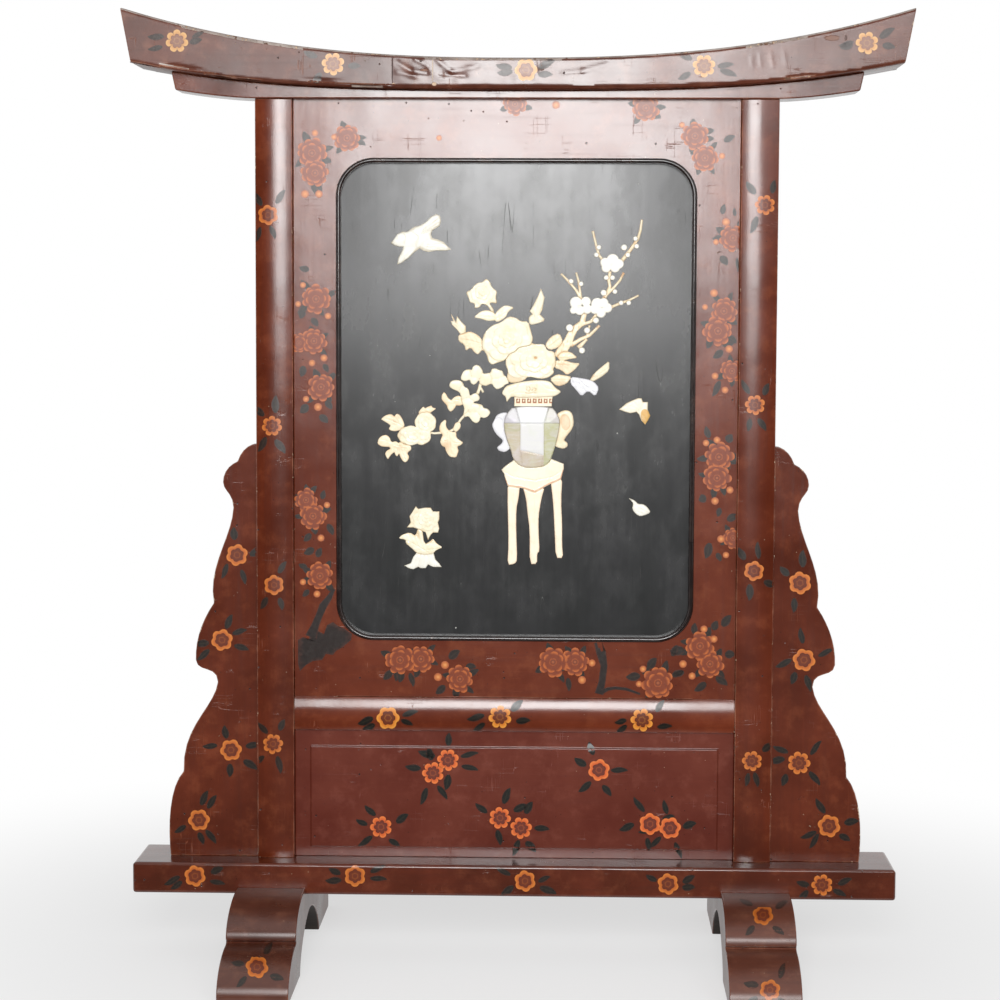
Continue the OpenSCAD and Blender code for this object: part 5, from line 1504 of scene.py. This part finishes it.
# Where the picture shows the small flowers, in pixels: paint, size, how faded, which ways
# their leaves grow, places.
UPRIGHT, LEVEL, ON_FOOT = (60, 120, 240, 300), (14, 166, 200, 340), (40, 150, 215, 320)
small_flowers = {
    "cap_upper": ("pale", 11.5, 0.42, LEVEL,
                  [(177, 41), (333, 64), (526, 70), (704, 66), (867, 43)]),
    "post_left": ("ochre", 10.2, 0.30, UPRIGHT,
                  [(268, 215), (272, 426), (274, 585), (273, 744)]),
    "post_right": ("ochre", 10.2, 0.20, UPRIGHT,
                   [(765, 205), (755, 405), (754, 571), (752, 761)]),
    "mid_rail": ("golden", 11.6, 0.05, LEVEL, [(388, 718), (500, 717), (642, 720)]),
    "apron_panel": ("orange", 11.0, 0.0, None,
                    [(448, 760), (433, 773), (381, 827), (500, 818), (521, 828), (599, 770),
                     (650, 824), (670, 828)]),
    "base_rail": ("ochre", 10.8, 0.15, LEVEL,
                  [(195, 876), (355, 876), (525, 881), (668, 884), (822, 885)]),
    "bracket_left": ("ochre", 11.0, 0.15, None,
                     [(237, 555), (222, 640), (231, 750), (199, 820)]),
    "bracket_right": ("ochre", 11.5, 0.12, None,
                      [(800, 583), (804, 660), (799, 763), (829, 826)]),
    "foot_left": ("ochre", 11.5, 0.15, ON_FOOT, [(257, 967)]),
    "foot_right": ("ochre", 10.5, 0.35, ON_FOOT, [(763, 915), (770, 990)]),
}
DARK_CARRIERS = ("cap_upper", "base_rail", "foot_left", "foot_right")
dice = random.Random(12)
for carrier, (shade, size, fade, ways, places) in small_flowers.items():
    brush = Brush(pieces[carrier], fade=fade)
    for px, py in places:
        brush.sprig(px, py, dice, size, shade, ways)
    slot = "dark_lacquer" if carrier in DARK_CARRIERS else "red_lacquer"
    brush.finish("painted_" + carrier, slot)

# Peonies (pixel, size), berries (pixel, radius) and leaves (pixel, angle in degrees,
# length, width) on the picture frame.
peonies = [
    (347, 138, 13), (312, 153, 14), (315, 173, 13), (316, 299, 14), (299, 343, 9),
    (314, 341, 12), (321, 387, 13), (306, 500, 11), (313, 516, 13), (320, 576, 13),
    (421, 659, 13), (400, 660, 14), (460, 679, 13), (575, 662, 13), (553, 662, 14),
    (658, 683, 15), (710, 664, 13), (700, 646, 14), (695, 136, 13), (705, 158, 13),
    (733, 238, 13), (724, 311, 13), (718, 331, 14), (732, 371, 11), (719, 457, 14),
    (717, 478, 13), (733, 538, 10), (515, 104, 11), (646, 108, 13)]
berries = [
    (315, 133, 3.3), (305, 194, 4), (319, 194, 3.8), (334, 137, 3), (303, 285, 3),
    (298, 304, 3), (328, 316, 3.3), (324, 358, 3.6), (312, 363, 3.4), (306, 399, 3.2),
    (318, 407, 4), (327, 505, 3.2), (321, 538, 3.5), (303, 582, 3.2), (317, 594, 3.5),
    (445, 665, 4), (438, 677, 4), (592, 663, 3.6), (582, 680, 4), (643, 669, 3.4),
    (639, 684, 3.2), (683, 664, 3.8), (692, 676, 3.6), (704, 629, 3.6), (714, 639, 3.6),
    (722, 156, 3.2), (726, 222, 4), (716, 242, 3), (714, 293, 4), (705, 307, 3),
    (729, 349, 3.8), (715, 376, 3.5), (725, 390, 3.5), (717, 440, 3.5), (706, 443, 3.3),
    (730, 490, 3.6), (715, 501, 3.8), (721, 539, 3.8), (726, 555, 3.2), (556, 105, 4),
    (439, 138, 3), (682, 125, 3)]
frame_leaves = [
    (309, 270, 160, 10, 7), (303, 309, 250, 10, 8), (312, 318, 300, 10, 7),
    (304, 366, 250, 11, 8), (324, 364, 290, 9, 6), (308, 405, 220, 11, 9),
    (326, 401, 300, 10, 7), (320, 415, 310, 11, 8), (308, 493, 100, 9, 6),
    (322, 499, 70, 9, 6), (328, 524, 290, 12, 7), (311, 534, 220, 10, 7),
    (314, 549, 200, 11, 8), (317, 557, 60, 10, 7), (307, 568, 150, 9, 6),
    (309, 590, 220, 9, 6), (449, 658, 30, 13, 9), (466, 666, 350, 10, 7),
    (445, 686, 215, 12, 8), (410, 673, 280, 14, 6), (392, 671, 220, 12, 8),
    (568, 678, 270, 13, 6), (648, 668, 45, 13, 9), (640, 676, 180, 14, 9),
    (672, 676, 20, 12, 7), (684, 650, 180, 14, 10), (684, 672, 190, 11, 7),
    (694, 634, 80, 11, 7), (713, 630, 60, 10, 8), (722, 626, 45, 14, 9),
    (706, 683, 210, 14, 8), (716, 677, 320, 14, 8), (725, 654, 350, 10, 9),
    (672, 656, 60, 12, 7), (722, 214, 70, 10, 6), (721, 256, 300, 11, 8),
    (737, 258, 270, 14, 4), (735, 216, 90, 8, 4), (734, 343, 190, 12, 5),
    (723, 351, 210, 12, 8), (720, 381, 240, 17, 7), (709, 438, 100, 12, 7),
    (727, 442, 50, 9, 9), (706, 497, 200, 8, 9), (720, 508, 250, 9, 6),
    (727, 520, 20, 12, 8), (710, 543, 250, 16, 9), (717, 553, 290, 9, 6),
    (724, 141, 20, 12, 7), (600, 672, 300, 10, 5)]
brush = Brush(*(pieces["frame_" + part] for part in (
    "stile_left", "stile_right", "rail_bottom", "rail_top")), fade=0.25)
# A rock at the lower left, two trunks and a twig.
brush.blot([(298, 640), (303, 637), (308, 640), (312, 633), (318, 631), (324, 634), (327, 625),
            (333, 622), (338, 626), (345, 629), (352, 634), (351, 640), (343, 647), (336, 651),
            (333, 655), (326, 654), (322, 660), (313, 661), (306, 665), (300, 671),
            (298, 664)][::-1], 0.05)
for order, (line, widths) in enumerate((
        ([(334, 589), (329, 598), (323, 606), (319, 616), (315, 626), (311, 637)],
         [3, 6, 8, 7, 8, 12]),
        ([(598, 642), (601, 652), (604, 666), (602, 682), (599, 694)], [8, 10, 7, 7, 9]),
        ([(602, 692), (608, 689), (615, 688), (626, 689), (640, 694)], [5, 3.5, 3, 3, 2]))):
    brush.strip(line, widths, "rock", 0.09 + 0.02 * order)
for px, py, angle, length, width in frame_leaves:
    brush.leaf(px, py, math.radians(angle), length, width)
# More leaves look out from behind the peonies.
leaf_dice = random.Random(31)
for px, py, size in peonies:
    for k in range(BACK_LEAVES):
        angle = math.radians(90.0 * k + leaf_dice.uniform(0, 80))
        far = size * leaf_dice.uniform(*BACK_START)
        brush.leaf(*step_off(px, py, angle, far),
                   angle + leaf_dice.uniform(-LEAF_TURN, LEAF_TURN),
                   size * leaf_dice.uniform(*BACK_LENGTH), size * leaf_dice.uniform(*BACK_WIDTH),
                   lift=0.03 + 0.003 * k)
for order, (px, py, size) in enumerate(peonies):
    brush.peony(px, py, size, dice, 0.02 * (order % 3))
for px, py, radius in berries:
    brush.flower(px, py, radius, 0, 0.0, 0.0, "berry", 0.16, BLOT_RINGS, 14)
brush.finish("painted_frame", "red_lacquer")


# ---------------------------------------------------------------- floor, light, camera

NEAR_WHITE = 0.58  # how white the floor is to the eye close to the screen
WHITE_BETWEEN = (240.0, 850.0)  # mm from the middle, over which it becomes all white
FLOOR_SIZE = 16.0
FILL = 0.34  # how strongly the sky lights the screen
WHITE = (1, 1, 1, 1)
SENSOR = 36.0
CLIP_NEAR, CLIP_FAR = 0.05, 60.0


def seen_directly(f):
    rays = [f.node("ShaderNodeLightPath", out=name) for name in (
        "Is Camera Ray", "Is Glossy Ray", "Is Transmission Ray")]
    return rays[0].top(rays[1]).top(rays[2])


def floor_finish():
    f = Finish("pale_floor")
    x, y = f.axis("X"), f.axis("Y")
    distance = ((x * x) + (y * y)) ** 0.5
    far = NEAR_WHITE + (1.0 - NEAR_WHITE) * distance.over(*WHITE_BETWEEN)
    grain = f.cloud(90.0, detail=3.0, rough=0.5)
    colour = f.mix(grain * 0.15, (238, 238, 238), (228, 228, 229))
    lit = f.node("ShaderNodeBsdfDiffuse", {}, {"Color": colour})
    white = f.node("ShaderNodeEmission", {}, {"Color": WHITE, "Strength": 1.0})
    return f.end(f.node("ShaderNodeMixShader", {}, {0: far * seen_directly(f), 1: lit, 2: white}))


def card_finish(name, tone):
    f = Finish(name)
    colour = f.mix(f.cloud(400.0), (tone,) * 3, (tone + 12,) * 3)
    return f.surface(Base_Color=colour, Roughness=0.9)


def flat(name, centre, upright, width, height, look):
    """A flat sheet that lies or stands across the view."""
    bpy.ops.object.select_all(action="DESELECT")
    bpy.ops.mesh.primitive_plane_add(
        size=1.0, location=centre, rotation=(math.radians(90 if upright else 0), 0, 0))
    sheet = bpy.context.object
    sheet.name = name
    sheet.scale = (width, height, 1.0)
    bpy.ops.object.transform_apply(location=True, rotation=True, scale=True)
    sheet.data.materials.append(look)
    return sheet


floor = flat("floor", (0, 0, 0), False, FLOOR_SIZE, FLOOR_SIZE, floor_finish())
# Two large dark cards that only the lacquer's shine sees.
for name, centre, upright, width, height, tone in (
    ("grey_card", (0, -4.6, 1.6), True, 11.0, 7.0, 56),
    ("floor_flag", (0, -2.36, 0.002), False, 6.0, 4.4, 42),
):
    sheet = flat(name, centre, upright, width, height, card_finish(name + "_paint", tone))
    sheet.visible_camera = sheet.visible_shadow = sheet.visible_diffuse = False

sky = Finish("studio", "worlds")
bpy.context.scene.world = sky.material
sky.end(sky.node("ShaderNodeBackground", {}, {
    "Color": WHITE, "Strength": FILL + (1.0 - FILL) * seen_directly(sky)}),
    "ShaderNodeOutputWorld")

# Lamps: place, width, height and power. Both look at the middle of the screen.
for name, at, width, height, power in (
    ("key_softbox", (-0.04, -2.45, 1.02), 0.76, 0.92, 46.5),
    ("side_softbox", (0.95, -2.35, 1.30), 1.10, 0.95, 13.0),
):
    light = bpy.data.lights.new(name, "AREA")
    light.shape = "RECTANGLE"
    light.size, light.size_y = width, height
    light.energy = power
    lamp = add(name, light)
    lamp.location = at
    way = Vector((0, 0, 0.45)) - Vector(at)
    lamp.rotation_euler = way.to_track_quat("-Z", "Y").to_euler()

lens = bpy.data.cameras.new("view")
lens.sensor_width = SENSOR
lens.lens = FOCAL / PICTURE_SIZE * SENSOR
lens.clip_start, lens.clip_end = CLIP_NEAR, CLIP_FAR
camera = add("view", lens)
turn = Matrix((rightward, upward, -ahead)).transposed().to_4x4()
camera.matrix_world = Matrix.Translation(CAMERA_AT) @ turn
bpy.context.scene.camera = camera
bpy.context.scene.view_settings.view_transform = "Standard"
